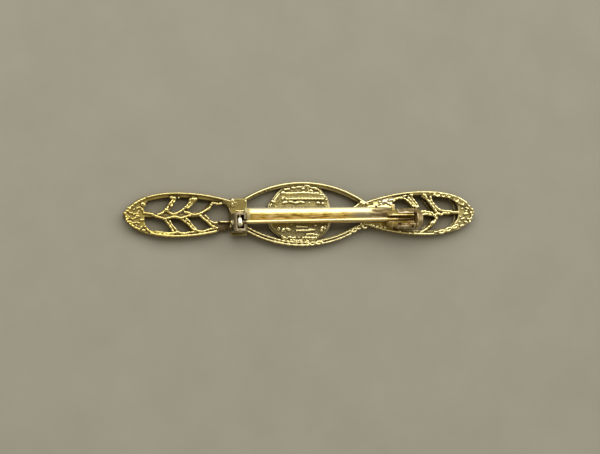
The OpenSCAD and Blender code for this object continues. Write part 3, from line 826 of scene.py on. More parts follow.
def inset_edge(low_x, high_x, inset, more=0.0):
    """The edge of a leaf between two places, moved inward, and by more where x is under 20."""
    line = []
    for (x, y), (ix, iy) in zip(*leaf_edge()):
        if low_x < x < high_x:
            far = inset + more * max((20.0 - x) / 2, 0.0)
            line.append((x + ix * far, y + iy * far))
    return line


RIGHT_VEINS = [
    [(18.2, 2.85), (18.95, 1.85), (19.7, 0.8)], [(21.1, 3.0), (21.9, 1.65), (22.9, 0.1)],
    [(22.9, -0.4), (22.0, -1.8), (20.0, -3.3)]]
RIGHT_STRANDS = [
    (0.16, 1.55, [(15.3, 1.89), (15.8, 2.26), (16.5, 2.44), (17.2, 2.4), (17.7, 2.11), (18.2, 1.62),
        (18.6, 1.13)]),
    (0.16, 1.55, [(17.85, 2.68), (18.4, 2.03), (18.8, 1.53), (19.3, 0.88)]),
    (0.16, 1.55, [(18.36, 2.68), (18.85, 2.11), (19.35, 1.45), (19.6, 0.96)]),
    (0.18, 1.56, [(20.2, 2.83), (20.9, 2.42), (21.3, 2.0), (21.8, 1.35), (22.1, 0.94), (22.5, 0.36),
        (23.0, -0.21)]),
    (0.18, 1.56, [(21.67, 2.74), (21.8, 2.08), (22.2, 1.51), (22.65, 0.93), (23.05, 0.6), (23.55, 0.4),
        (24.2, 0.3), (24.9, 0.26), (25.4, 0.12), (26.2, 0.1)]),
    (0.18, 1.54, [(19.2, 0.25), (19.9, 0.19), (20.5, 0.3), (21.1, 0.16), (21.75, 0.04), (22.2, -0.34),
        (22.5, -0.7)]),
    (0.17, 1.52, [(19.4, -0.2), (20.2, -0.27), (20.8, -0.16), (21.5, -0.25), (22.1, -0.37), (22.9, -0.13),
        (23.45, -0.27), (23.9, 0.0), (24.4, -0.09), (24.9, -0.02)]),
    (0.17, 1.54, [(22.66, -0.7), (22.3, -1.35), (21.95, -1.76), (21.4, -2.16), (20.8, -2.64), (20.2, -2.95),
        (19.8, -3.15)])]
GAP_WALLS = [
    [(17.45, 2.3), (18.1, 1.6), (18.7, 0.8)], [(20.5, 2.3), (21.3, 1.3), (22.0, 0.2)],
    [(21.9, -0.9), (21.2, -1.9), (20.0, -2.9)],
    [(25.1, 2.2), (25.75, 1.5), (25.95, 0.5), (25.95, -0.6), (25.75, -1.4), (25.2, -2.1)]]
INNER_RIM = [(15.0, 2.0), (15.7, 2.4), (16.5, 2.6), (17.2, 2.65), (17.7, 2.8), (18.6, 2.95)]
FLAT_RIM = [
    (18.1, 3.0), (18.3, 2.95), (19.8, 3.0), (21.2, 2.9), (22.2, 2.75), (23.55, 2.62), (24.7, 2.45),
    (25.4, 2.12), (26.0, 1.73), (26.4, 1.4), (26.9, 1.25), (27.5, 1.15)]
RIGHT_TIP_INNER = [
    (25.3, 2.4), (26.0, 1.73), (26.4, 1.08), (26.5, 0.26), (26.45, -0.4), (26.25, -1.05), (25.7, -1.7),
    (25.2, -2.4)]
RIGHT_TIP_DROPS = [
    (27.06, 0.68, 0.23, 0.18, 0), (27.42, 1.24, 0.18, 0.15, 20), (28.03, 0.69, 0.24, 0.18, -20),
    (28.76, 0.57, 0.23, 0.2, -40), (27.66, -0.14, 0.46, 0.24, 5), (28.55, 0.03, 0.28, 0.23, 10),
    (28.71, -0.44, 0.21, 0.2, 60), (27.09, -0.94, 0.41, 0.2, 20), (28.11, -1.0, 0.33, 0.18, -20),
    (27.65, -1.52, 0.37, 0.2, -30), (26.92, -2.07, 0.44, 0.21, 18), (26.73, -0.61, 0.2, 0.15, 0),
    (28.26, 1.1, 0.26, 0.18, -35), (27.74, 0.86, 0.18, 0.15, 0), (28.3, -1.44, 0.24, 0.2, 45),
    (26.56, -1.46, 0.2, 0.15, 60), (28.54, -0.9, 0.24, 0.2, 70), (27.76, 0.33, 0.23, 0.15, 0)]
RIGHT_GRAINS = [
    (18.0, 2.44, 0.25), (18.74, 1.13, 0.25), (19.3, 0.96, 0.26), (20.9, 2.55, 0.34), (20.6, 2.65, 0.3),
    (21.5, 1.87, 0.26), (22.2, 1.48, 0.22), (20.2, 0.22, 0.28), (21.1, 0.13, 0.22), (21.8, 0.07, 0.22),
    (22.2, -0.34, 0.22), (23.1, -0.16, 0.27), (25.9, 0.09, 0.24), (22.6, -0.94, 0.22), (21.6, -2.05, 0.24),
    (19.84, -3.1, 0.22), (16.21, -2.95, 0.3), (18.64, -2.95, 0.16)]
BRIDGE_GRAINS = [
    (12.9, 1.4, 0.14), (12.0, 2.1, 0.12), (12.7, -2.1, 0.18), (13.3, -2.2, 0.16), (13.9, -2.3, 0.18)]
RIM_DROPS = [
    (17.29, 2.79, 0.36, 0.16, 20), (18.4, 2.94, 0.33, 0.2, -20), (19.5, 3.23, 0.39, 0.15, 5),
    (20.6, 2.91, 0.42, 0.18, -25), (21.54, 3.2, 0.33, 0.15, 0), (22.35, 2.96, 0.29, 0.2, 10),
    (23.4, 3.1, 0.33, 0.16, -15), (24.33, 2.77, 0.29, 0.15, -30), (25.26, 2.6, 0.33, 0.15, -35)]
DIMPLES = [
    (22.83, 3.08, 0.42, 0.13), (23.81, 2.85, 0.24, 0.09), (24.8, 2.78, 0.24, 0.07), (26.0, 2.2, 0.4, 0.16),
    (26.85, 1.62, 0.45, 0.22), (26.7, 1.3, 0.4, 0.22)]

right_parts = rim_parts(1, 1, 80) + rim_parts(1, -1, 84)
right_parts += [vein(path, 0.46, 1.4, 0.22) for path in RIGHT_VEINS]
right_parts.append(vein([(19.0, 0.0), (22.5, 0.0), (26.5, 0.1)], 0.5, 1.36, 0.14))
for row, (radius, height, path) in enumerate(RIGHT_STRANDS):
    right_parts.append(strand(flowing(path, height), radius * 1.18, 0.66, 0.12, 0.2, 200 + row))
# the gap walls show a fine bead at their foot
right_parts += [strand(flowing(path, 0.66), 0.13, 2.0, 0.04, 0.05, 230) for path in GAP_WALLS]
right_parts.append(sloped_band(inset_edge(15.0, 18.6, 0.3), INNER_RIM, 1.5, 1.72, 0.9))
right_parts.append(sloped_band(inset_edge(18.0, 28.0, 0.03, 0.26), FLAT_RIM, 1.9, 1.87, 1.0))
right_parts.append(tip_slab(RIGHT_TIP_INNER, 1, 1.3))
right_parts += drops(RIGHT_TIP_DROPS, 1.5) + drops([(21.87, -1.65, 0.56, 0.36, 42)], 1.62)
right_parts += grain_row(RIGHT_GRAINS, 1.6, 6)
# the bridge that carries the catch closes the inner end, with rough solder on it
bridge_top = inset_edge(11.0, 15.2, 0.4)
right_parts.append(slab([(x, -y) for x, y in bridge_top] + list(reversed(bridge_top)), 0.9, 1.62))
right_parts.append(sloped_band(bridge_top, [(10.9, 0.9), (13.0, 0.9), (15.2, 0.9)], 1.6, 1.8, 0.9))
right_parts.append(wall([(15.0, -1.06), (18.9, -1.06)], 2.4, 0.4, 1.75))
right_parts += grain_row(BRIDGE_GRAINS, 1.78, 7)
bridge_strand = flowing([(11.3, -1.85), (11.9, -2.05), (12.5, -2.3)], 1.72)
right_parts.append(strand(bridge_strand, 0.16, 0.6, 0.12, 0.1, 250))
right_parts += drops(RIM_DROPS, 1.79)
right_leaf = cast("right_leaf", right_parts, leaf_gold, LEAF_VOXEL, 1,
                  dents=DIMPLES, lowest=1.6, kept=LEAF_FACES_KEPT)
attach(right_leaf, "bar")
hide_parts("brooch_bar")


# The solder beside the catch.
# Pale solder that ran out when the drum was fixed on the bridge, and froze beside it in lumps of
# different sizes.


solder_metal = cast_gold(
    "pale solder", face=(0.95, 0.9, 0.64), worn_and_highlit=(1.0, 0.98, 0.78), dirt_and_shade_colour=(0.16, 0.12, 0.04),
    rough=(0.3, 0.5), swell=0.6, grain=0.3, bump=0.000012, reach=0.7, depth=0.9)
SOLDER_DROPS = [
    (13.79, 1.88, 0.54, 0.47, 20), (14.49, 1.58, 0.33, 0.26, -30), (14.98, 2.13, 0.49, 0.28, 15),
    (12.46, 1.27, 0.29, 0.23, 0), (14.84, 1.36, 0.24, 0.21, 0), (15.2, 1.05, 0.2, 0.33, 0),
    (13.22, 1.47, 0.23, 0.18, 0), (14.22, 2.2, 0.28, 0.21, 10), (13.0, 1.87, 0.21, 0.16, 20)]
catch_solder = cast("catch_solder", drops(SOLDER_DROPS, 1.9), solder_metal, 0.05, 3)
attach(catch_solder, "bar")
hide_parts("brooch_bar")


# The centre oval.
# A pointed oval of the same casting, with a lipped upper rim and a lower rim of strands, partly
# twisted into a rope. Solid blocks at both ends join it to the leaves.


OVAL_HALF, OVAL_R, OVAL_END, OVAL_STEP = 5.15, 18.8, 11.1, 0.15
ROPE_PITCH, ROPE_WAIST, ROPE_LIFT, ROPE_SEED = 0.5, 0.08, 0.05, 10
# a thin lip over a broad flat face
STEP_RIM = [
    (0.08, 0.0), (0.0, 0.2), (0.0, 1.78), (0.05, 1.93), (0.14, 1.98), (0.22, 1.92), (0.27, 1.6),
    (0.33, 1.36), (0.5, 1.34), (0.62, 1.25), (0.66, 0.3), (0.56, 0.0)]
# Strands on the lower rim, waisted unevenly towards the right. Columns: where it starts and ends,
# distance inward, height, radius, pitch, waist, unevenness and seed.
LOWER_STRANDS = [
    (-9.8, -4.6, 0.1, 1.58, 0.14, 0.8, 0.12, 0.1, 9), (-9.8, -4.6, 0.6, 1.58, 0.13, 0.8, 0.12, 0.1, 9),
    (-4.9, 1.2, 0.12, 1.5, 0.16, 1.15, 0.34, 0.35, 17), (-4.9, 0.8, 0.55, 1.5, 0.15, 0.74, 0.36, 0.35, 17),
    (3.2, 8.2, 0.08, 1.5, 0.15, 0.62, 0.2, 0.35, 17), (3.2, 8.2, 0.55, 1.5, 0.13, 0.8, 0.2, 0.35, 17)]
OVAL_GRAINS = [
    (-9.1, 2.6, 0.26), (-8.4, 3.0, 0.2), (-7.9, 3.15, 0.2), (-6.8, 3.6, 0.22), (-6.4, 3.7, 0.18),
    (-5.9, 3.85, 0.24), (-5.2, 4.05, 0.2)]
LEFT_BLOCK = [
    (-9.2, -2.0), (-9.2, 2.0), (-9.8, 2.02), (-10.5, 1.86), (-11.2, 1.95), (-12.0, 2.15), (-12.9, 2.3),
    (-12.6, 1.8), (-12.1, 1.05), (-11.85, 0.25), (-11.8, -1.0), (-12.0, -2.1), (-11.2, -1.95),
    (-10.5, -1.86), (-9.8, -2.02)]
PAD_DROPS = [
    (-11.55, 2.2, 0.39, 0.29, -85), (-11.62, 1.62, 0.21, 0.16, -80), (-9.43, 2.07, 0.23, 0.2, -20),
    (-11.78, -1.28, 0.36, 0.21, -80)]


def oval_line(above, low_x, high_x):
    """The outline of the oval between two places along the bar, and the directions inward."""
    first, last = math.asin(low_x / OVAL_R), math.asin(high_x / OVAL_R)
    count = int((last - first) * OVAL_R / OVAL_STEP)
    angles = [first + (last - first) * i / count for i in range(count + 1)]
    line = [(OVAL_R * math.sin(a), above * (OVAL_R * math.cos(a) - OVAL_R + OVAL_HALF)) for a in angles]
    return line, [(-math.sin(a), -above * math.cos(a)) for a in angles]


def oval_path(above, low_x, high_x, inset, height, start=-99.0):
    """The path at a distance inward from the oval's outline."""
    return offset_path(*oval_line(above, low_x, high_x), inset, height, start)


def rope(path, radius, spread, turn, uneven):
    """Two strands wound round a path, with small eyes between their crossings."""
    spots, along = [Vector(p) for p in path], 0.0
    lines = ([], [])
    for i, spot in enumerate(spots):
        run = (spots[min(i + 1, len(spots) - 1)] - spots[max(i - 1, 0)]).normalized()
        side = Vector((-run.y, run.x, 0.0))
        along += (spot - spots[i - 1]).length if i else 0.0
        for line, phase in zip(lines, (0.0, math.pi)):
            angle = math.tau * along / turn + phase
            line.append(spot + side * spread * math.cos(angle) + Vector((0, 0, ROPE_LIFT * math.sin(angle))))
    return [strand(line, radius, ROPE_PITCH, ROPE_WAIST, uneven, ROPE_SEED + k)
            for k, line in enumerate(lines)]


oval_parts = []
for above, profile in ((1, STEP_RIM), (-1, ROPE_RIM)):
    line, turned = oval_line(above, -OVAL_END, OVAL_END)
    rim = swept(line, turned, profile)
    for vert in rim.vertices:
        # the pad of the hinge covers the end of the rim
        if vert.co.x < -9.4:
            vert.co.z = min(vert.co.z, 1.6)
    oval_parts += [rim] + edge_beads(line, turned, 11, -99.0)
oval_parts.append(strand(oval_path(1, -OVAL_END, OVAL_END, 0.15, 1.86, -9.5), 0.15, 2.1, 0.05, 0.05, 7))
for low_x, high_x, inset, height, radius, pitch, waist, uneven, seed in LOWER_STRANDS:
    path = oval_path(-1, low_x, high_x, inset, height)
    oval_parts.append(strand(path, radius, pitch, waist, uneven, seed))
oval_parts += rope(oval_path(-1, 0.6, 3.4, 0.28, 1.46), 0.155, 0.22, 2.1, 0.45)
oval_parts += rope(oval_path(-1, 8.0, 10.4, 0.28, 1.46), 0.165, 0.24, 1.9, 0.35)
oval_parts += grain_row(OVAL_GRAINS, 1.6, 12)
oval_parts.append(slab(list(reversed(LEFT_BLOCK)), 0.1, 1.75))
block_top = [(x, y - 0.1) for x, y in leaf_edge()[0] if 10.9 < x < 12.0] + [(12.05, 1.98)]
block_outline = [(9.75, -1.5), (9.95, -1.95), (10.5, -1.86)] + [(x, -y) for x, y in block_top]
block_outline += list(reversed([(8.4, 0.95), (9.1, 1.3), (9.75, 1.85), (10.5, 1.86)] + block_top))
oval_parts.append(slab(block_outline, 0.1, 1.7))
# a bright corner, a bright line and a few specks on the pad of the hinge
oval_parts += drops(PAD_DROPS, 2.08)
oval_parts.append(slab([(-11.8, 2.4), (-9.3, 2.4), (-9.3, 0.2), (-11.8, 0.2)], 0.9, 1.7))
pad_line = flowing([(-11.08, 0.57), (-10.39, 0.48), (-9.57, 0.57)], 2.0)
oval_parts.append(strand(pad_line, 0.13, 2.0, 0.05, 0.1, 15))
oval_parts += grain_row([(9.95, 1.72, 0.34), (10.25, 1.55, 0.3)], 1.8, 13)
corner = flowing([(9.75, -1.6), (9.95, -2.05), (10.3, -2.35), (10.75, -2.3)], 1.78)
oval_parts.append(strand(corner, 0.17, 0.6, 0.1, 0.1, 14))
oval_piece = cast("centre_oval", oval_parts, leaf_gold, 0.065, 1)
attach(oval_piece, "bar")
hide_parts("brooch_bar")


# The pad under the hinge.
# A thick block of the casting, left dull, with a raised corner and a pit beside it. The hinge
# housing is soldered on it.


pad_gold = cast_gold(
    "dull gold of the pad", face=(0.33, 0.27, 0.1), worn_and_highlit=(0.46, 0.39, 0.17), dirt_and_shade_colour=(0.08, 0.055, 0.015),
    rough=(0.36, 0.55), swell=1.0, grain=0.5, bump=0.00002, reach=0.5, depth=0.6)
pad_parts = [slab([(-11.85, -2.95), (-9.2, -2.95), (-9.2, 2.5), (-11.85, 2.5)], 0.9, 2.0),
             slab([(-11.8, -3.4), (-9.25, -3.4), (-9.25, -2.9), (-11.8, -2.9)], 0.9, 1.45),
             slab([(-11.85, 2.6), (-11.35, 1.3), (-11.62, 1.1), (-11.85, 1.3)], 1.5, 2.1)]
hinge_pad = cast("hinge_pad", pad_parts, pad_gold, 0.055, 3, dents=[(-11.4, -2.35, 0.24, 0.6)], lowest=1.7)
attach(hinge_pad, "bar")
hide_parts("brooch_bar")


# The ribbed centre plate.
# A round plate set into the oval, of cast and plated brass. Its back has rough ribs, and rows of
# drops that ran together as the metal froze.


plate_gold = cast_gold(
    "cast gold of the plate", face=(0.75, 0.65, 0.26), worn_and_highlit=(1.0, 0.91, 0.5), dirt_and_shade_colour=(0.12, 0.09, 0.026),
    rough=(0.14, 0.5), swell=1.0, grain=0.4, bump=0.00002, reach=0.5, depth=0.45)
# below the strip the ground of the plate, between its ribs, is painted darker as the shade under the strip
# and pin
tree = plate_gold.node_tree
painted_shadow_below_strip = span_node(tree, object_axes(tree)["Y"], -0.0008, -0.002)
shade = math_node(tree, "MULTIPLY", painted_shadow_below_strip, span_node(tree, carried(tree, "relief"), -0.35, 0.0))
overlay(plate_gold, math_node(tree, "MULTIPLY", shade, 0.62), (0.12, 0.1, 0.045))
PLATE_CORNERS = [
    (4.9, 1.2), (4.75, 1.8), (4.45, 2.75), (3.75, 3.6), (2.9, 4.4), (0.5, 4.65), (-1.8, 4.6), (-3.5, 3.85),
    (-5.2, 1.85), (-5.45, 1.2), (-5.5, -1.4), (-5.0, -2.5), (-3.7, -3.6), (-1.9, -4.45), (1.3, -4.65),
    (3.0, -3.85), (3.75, -3.35), (4.5, -2.5), (4.9, -1.4)]
# Ribs, one row a rib: radius, unevenness, height and path.
RIBS = [
    (0.14, 0.6, 1.36, [(-1.5, 4.3), (-0.7, 4.32), (0.3, 4.38), (1.15, 4.42), (1.8, 4.25), (2.5, 4.1),
        (3.0, 3.85)]),
    (0.15, 0.3, 1.4, [(-2.9, 4.0), (-2.2, 4.05)]),
    (0.17, 0.5, 1.36, [(-3.3, 3.4), (-1.6, 3.36), (0.2, 3.42), (2.9, 3.28)]),
    (0.2, 0.08, 1.5, [(-2.2, 2.47), (-1.9, 2.47), (-0.2, 2.49), (1.8, 2.46), (3.8, 2.44)]),
    (0.2, 0.2, 1.38, [(-4.2, 0.9), (4.2, 0.9)]), (0.2, 0.2, 1.38, [(-4.4, 0.0), (4.4, 0.0)]),
    (0.2, 0.2, 1.38, [(-4.2, -0.9), (4.2, -0.9)]), (0.14, 0.25, 1.36, [(-1.0, -2.02), (1.0, -2.1)]),
    (0.12, 0.3, 1.36, [(-3.1, 1.86), (-1.2, 1.9), (0.6, 1.88)]),
    (0.17, 0.2, 1.44, [(-1.05, -2.67), (0.1, -2.67), (1.1, -2.66), (2.15, -2.55)]),
    (0.18, 0.3, 1.42, [(0.6, -3.33), (1.6, -3.26), (2.6, -3.45)]),
    (0.16, 0.2, 1.4, [(-3.5, -3.45), (-2.9, -3.8), (-1.95, -4.25)]),
    (0.18, 0.4, 1.42, [(-2.3, -3.55), (-2.3, -3.9)]), (0.18, 0.4, 1.42, [(-1.75, -3.9), (-1.08, -3.75)]),
    (0.28, 0.3, 1.4, [(-0.1, -3.85), (0.6, -3.83), (1.1, -3.88), (1.75, -4.0), (2.4, -3.76)]),
    (0.16, 0.35, 1.42, [(-2.1, -4.2), (-1.1, -4.25), (0.05, -4.28)]),
    (0.17, 0.2, 1.44, [(0.1, -4.1), (0.6, -4.3), (1.05, -4.45)])]
PLATE_DROPS = [
    (1.08, 4.54, 0.55, 0.26, -15), (-0.34, 4.38, 0.49, 0.21, 0), (2.41, 4.14, 0.55, 0.24, -18),
    (-2.18, 4.06, 0.39, 0.21, 10), (-1.3, 4.28, 0.36, 0.2, 0), (0.37, 4.1, 0.3, 0.13, 15),
    (1.73, 3.77, 0.33, 0.18, -30), (-4.8, 2.13, 0.26, 0.21, 20), (-3.0, 3.45, 0.42, 0.29, -2),
    (-2.27, 3.36, 0.36, 0.24, 10), (-1.27, 3.32, 0.29, 0.21, -10), (-0.57, 3.4, 0.39, 0.26, 3),
    (0.4, 3.46, 0.39, 0.28, 0), (1.2, 3.39, 0.42, 0.29, -8), (1.99, 3.19, 0.23, 0.16, -30),
    (2.63, 3.34, 0.46, 0.24, -5), (-3.06, 2.56, 0.31, 0.24, 35), (-2.36, 2.44, 0.33, 0.23, -15),
    (-1.48, 2.37, 0.29, 0.18, -20), (-0.52, 2.33, 0.33, 0.2, -20), (-2.74, 1.9, 0.47, 0.26, 14),
    (-1.72, 1.97, 0.5, 0.22, -12), (-0.79, 1.84, 0.44, 0.25, 16), (0.07, 1.93, 0.46, 0.21, -14),
    (2.81, 1.77, 0.37, 0.26, -20), (3.59, 1.7, 0.29, 0.23, 0), (-3.89, -2.34, 0.38, 0.26, 80),
    (-3.15, -2.54, 0.44, 0.26, 60), (-2.33, -2.45, 0.52, 0.28, -25), (0.13, -2.63, 0.42, 0.23, 0),
    (1.38, -2.55, 0.68, 0.24, 2), (3.38, -2.21, 0.36, 0.24, 60), (3.25, -2.69, 0.29, 0.2, -50),
    (3.81, -2.37, 0.18, 0.26, 0), (2.44, -3.49, 0.42, 0.24, -20), (1.64, -3.94, 0.81, 0.41, 5),
    (0.34, -3.9, 0.49, 0.29, 10), (-2.07, -3.81, 0.42, 0.29, 70), (-3.07, -3.86, 0.59, 0.24, -30),
    (-1.0, -4.42, 0.85, 0.21, 3), (0.71, -4.35, 0.58, 0.28, -40), (-1.41, -3.94, 0.33, 0.21, 10),
    (-0.57, -3.79, 0.21, 0.16, 0), (-0.17, -4.34, 0.29, 0.2, -20), (-2.33, -4.35, 0.33, 0.18, -10)]
PLATE_GRAINS = [
    (-3.95, -2.3, 0.2), (-3.1, -2.4, 0.2), (-2.35, -2.4, 0.22), (-2.08, -2.6, 0.18), (3.3, -2.3, 0.28),
    (3.9, -1.95, 0.2), (-4.6, 2.0, 0.26), (4.2, 2.3, 0.24), (1.0, 4.5, 0.24)]
LUMP_COUNT, LUMP_REACH, LUMP_HEIGHT = 36, 4.5, 1.24

plate_edge = [p[:2] for p in flowing(PLATE_CORNERS + PLATE_CORNERS[:1], 0.0, 0.3)][:-1]
plate_parts = [slab(plate_edge, 0.3, 0.95), slab([(x * 0.95, y * 0.95) for x, y in plate_edge], 0.5, 1.26)]
for row, (radius, uneven, height, path) in enumerate(RIBS):
    plate_parts.append(strand(flowing(path, height), radius * 1.1, 0.55, 0.12, uneven, 60 + row, plate_gold))
plate_parts.append(sloped_band(
    [(-3.2, 3.25), (0.0, 3.25), (3.8, 3.3)], [(-3.3, 2.62), (0.0, 2.62), (4.1, 2.62)], 1.42, 1.4, 0.8))
plate_parts += drops(PLATE_DROPS, 1.4) + grain_row(PLATE_GRAINS, 1.4, 21)
# fine grains lie between the ribs
plate_rng = random.Random(5)
lumps = []
for _ in range(LUMP_COUNT):
    angle, far = plate_rng.uniform(0, math.tau), LUMP_REACH * math.sqrt(plate_rng.uniform(0.2, 0.95))
    lumps.append((far * math.cos(angle), far * math.sin(angle), LUMP_HEIGHT))
plate_parts.append(grown(scatter_tree("grains on points", False), lumps, plate_gold,
                         {"Bead Radius": 0.17, "Size Spread": 0.5, "Seed": 9}, linked=False))
centre_plate = cast("centre_plate", plate_parts, plate_gold, 0.065, 1)
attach(centre_plate, "bar")
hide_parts("brooch_bar")


# The base strip of the pin back.
# A rolled brass strip, slightly crowned, with rounded long edges, soldered across the two blocks. It
# is polished away from the pin, painted darker and warm under it as shade and reflection of the pin,
# and burnt by the solder at the catch.


def stretched(tree, scales):
    """The place on the piece, drawn out along the bar."""
    node = tree.nodes.new("ShaderNodeMapping")
    node.inputs["Scale"].default_value = scales
    tree.links.new(object_place(tree), node.inputs["Vector"])
    return node.outputs["Vector"]


rolled_gold, tree, shader = new_finish("rolled gold strip")
streaks = noise_node(tree, stretched(tree, (60.0, 2200.0, 2200.0)), 1.0, 4.0, 0.6)
dashes = noise_node(tree, stretched(tree, (480.0, 3400.0, 800.0)), 1.0, 3.0, 0.6)
blotch = noise_node(tree, object_place(tree), 260.0, 3.0, 0.55)
axes = object_axes(tree)
# the half under the pin is painted as the pin's shade and warm reflection
warm_reflection = math_node(tree, "MULTIPLY", span_node(tree, axes["Y"], -0.0002, -0.0014), blotch, clamp=True)
warm_reflection = math_node(tree, "MULTIPLY", warm_reflection, 1.5, clamp=True)
shaded_half_under_pin = span_node(tree, axes["Y"], 0.0003, 0.00012)
edged = span_node(tree, axes["Y"], 0.00072, 0.00082)
rooted = span_node(tree, axes["X"], -0.0090, -0.0085, 1.0, 0.0)
burnt = math_node(tree, "MULTIPLY", span_node(tree, axes["X"], 0.0108, 0.0124),
                  span_node(tree, dashes, 0.42, 0.58, 1.0, 0.4))
base = mix_colours(tree, span_node(tree, streaks, 0.35, 0.65), (0.79, 0.69, 0.38), (0.72, 0.59, 0.27))
for share, within, colour in (
        # the half under the pin is painted darker and warm as the pin's shade and reflection, and dull, with
        # brown dashes and painted glints along it
        (shaded_half_under_pin, 1.0, (0.6, 0.42, 0.1)),
        (shaded_half_under_pin, warm_reflection, (0.62, 0.36, 0.12)),
        (shaded_half_under_pin, span_node(tree, dashes, 0.5, 0.6), (0.24, 0.14, 0.008)),
        (shaded_half_under_pin, span_node(tree, dashes, 0.44, 0.36), (0.85, 0.66, 0.34)),
        # the long edge away from the pin is dull and greyish, and so is the strip before the catch
        (edged, 1.0, (0.42, 0.38, 0.24)),
        (shaded_half_under_pin, span_node(tree, axes["X"], 0.0068, 0.0092), (0.3, 0.25, 0.14)),
        # both ends are dull, one at the hinge and one burnt brown under the catch
        (rooted, 1.0, (0.4, 0.34, 0.15)),
        (burnt, 1.0, (0.12, 0.07, 0.015))):
    base = mix_colours(tree, math_node(tree, "MULTIPLY", share, within), base, colour)
tree.links.new(base, shader["Base Color"])
dulled = math_node(tree, "MAXIMUM", burnt, math_node(tree, "MULTIPLY", rooted, 0.8))
dulled = math_node(tree, "MAXIMUM", dulled, math_node(tree, "MULTIPLY", edged, 0.5))
gloss = span_node(tree, blotch, 0.3, 0.7, 0.15, 0.22)
gloss = math_node(tree, "MAXIMUM", gloss, math_node(tree, "MULTIPLY", dulled, 0.62))
tree.links.new(gloss, shader["Roughness"])
unpolished = math_node(tree, "MAXIMUM", math_node(tree, "MULTIPLY", shaded_half_under_pin, 0.65), dulled)
tree.links.new(span_node(tree, unpolished, 0.0, 1.0, 1.0, 0.2), shader["Metallic"])
roughen(tree, streaks, 0.6, 0.00001)

DRUM_Y, PIN_Z = -1.06, 3.7
STRIP_START, STRIP_END, STRIP_STEPS = -9.7, 15.0, 100
STRIP_HALF, STRIP_Y, STRIP_TOP, STRIP_CROWN = 1.24, -0.26, 2.46, 0.2
STRIP_FOOT, STRIP_EDGE = 1.8, 2.14
HEATED_FROM, COLLAR_FROM, COLLAR_ROOM = 11.3, 13.5, 1.5
strip_profile = [(-STRIP_HALF, STRIP_FOOT), (-STRIP_HALF, STRIP_EDGE)]
for i in range(17):
    t = 2 * i / 16 - 1
    edge_round = 0.12 * max(abs(t) - 0.86, 0.0) / 0.14
    strip_profile.append((t * (STRIP_HALF - 0.02), STRIP_TOP - STRIP_CROWN * t * t - edge_round))
strip_profile += [(STRIP_HALF, STRIP_EDGE), (STRIP_HALF, STRIP_FOOT)]


def strip_section(x):
    """The places round the strip at one place along the bar."""
    lift = 0.012 * math.sin(x * 1.3) + 0.008 * math.sin(x * 3.1 + 1)
    end = min(max((x - 13.9) / 1.1, 0.0), 1.0)
    section = []
    for y, z in strip_profile:
        height = z + (lift if z > 2 else 0.0) - 0.05 * end
        if x > HEATED_FROM and z > 2.2:
            # past the end of its polished length the strip is flat and puckered by the soldering heat
            heat = min((x - HEATED_FROM) / 0.5, 1.0)
            pucker = 0.05 * math.sin(y * 9 + 0.8 * math.sin(x * 2.1)) + 0.02 * math.sin(x * 7 + y * 5)
            height += heat * (STRIP_CROWN * max(y, 0.0) ** 2 / STRIP_HALF ** 2 * 0.9 + pucker - 0.05)
        if x > COLLAR_FROM and z > 2:
            # under the collar the strip is dished, so that the collar turns clear of it
            across = STRIP_Y + y - DRUM_Y
            dish = COLLAR_ROOM - math.sqrt(max(COLLAR_ROOM ** 2 - across ** 2, 0.0))
            height = min(height, PIN_Z - COLLAR_ROOM + dish)
        section.append((x, STRIP_Y + y * (1 - 0.06 * end), height))
    return section


def skinned(rings, closed=False):
    """A solid over rings of as many places each, with flat ends, or closed on itself."""
    bm = bmesh.new()
    rings = [[bm.verts.new(place) for place in ring] for ring in rings]
    for first, second in zip(rings, rings[1:] + rings[:1] if closed else rings[1:]):
        for a, b, c, d in zip(first, first[1:] + first[:1], second[1:] + second[:1], second):
            bm.faces.new((a, b, c, d))
    if not closed:
        bm.faces.new(rings[0])
        bm.faces.new(list(reversed(rings[-1])))
    bmesh.ops.recalc_face_normals(bm, faces=bm.faces)
    return mesh_of(bm, "skinned")


strip_length = STRIP_END - STRIP_START
strip_places = [STRIP_START + strip_length * i / STRIP_STEPS for i in range(STRIP_STEPS + 1)]
strip_mesh = skinned([strip_section(x) for x in strip_places])
base_strip = placed("base_strip", strip_mesh, rolled_gold, flat_ends=True)
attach(base_strip, "bar")
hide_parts("brooch_bar")


# The hinge housing.
# Folded from thick sheet and soldered on its pad: two ears, a rolled top, and an open window in
# which the knuckle of the pin turns on its rivet. Its surface has gone dull and greyish.


def fitting_metal(name, face, second, dark, worn_and_highlit, rough, bump):
    """Polished fitting metal, with faint tooling marks, crests rubbed bright and painted as highlights, and
    dirt and painted shade in hollows and hidden spots.
    """
    material, tree, shader = new_finish(name)
    marks = place_group(tree, hollow_group, {"Reach": 0.5, "Spots": 1500.0, "Depth": 0.7})
    place = object_place(tree)
    cloud = noise_node(tree, place, 700.0, 3.0, 0.6)
    base = mix_colours(tree, span_node(tree, cloud, 0.35, 0.65), face, second)
    # crests are rubbed bright: real wear and a painted highlight
    rubbed_and_highlit = span_node(tree, noise_node(tree, place, 1100.0, 2.0), 0.42, 0.56)
    rubbed_and_highlit = math_node(tree, "MULTIPLY", marks["Crest"], rubbed_and_highlit)
    base = mix_colours(tree, math_node(tree, "MULTIPLY", rubbed_and_highlit, 1.6, clamp=True), base, worn_and_highlit)
    # dirt and painted shade, darker in hollows and where the metal around hides the sky
    dirt_and_shade = math_node(tree, "MAXIMUM", marks["Hollow"], marks["Painted Shade"])
    tree.links.new(mix_colours(tree, dirt_and_shade, base, dark), shader["Base Color"])
    tree.links.new(span_node(tree, dirt_and_shade, 0.0, 1.0, 1.0, 0.3), shader["Metallic"])
    tree.links.new(span_node(tree, cloud, 0.3, 0.7, rough[0], rough[1]), shader["Roughness"])
    roughen(tree, noise_node(tree, place, 2400.0, 3.0, 0.6), 0.7, bump)
    return material


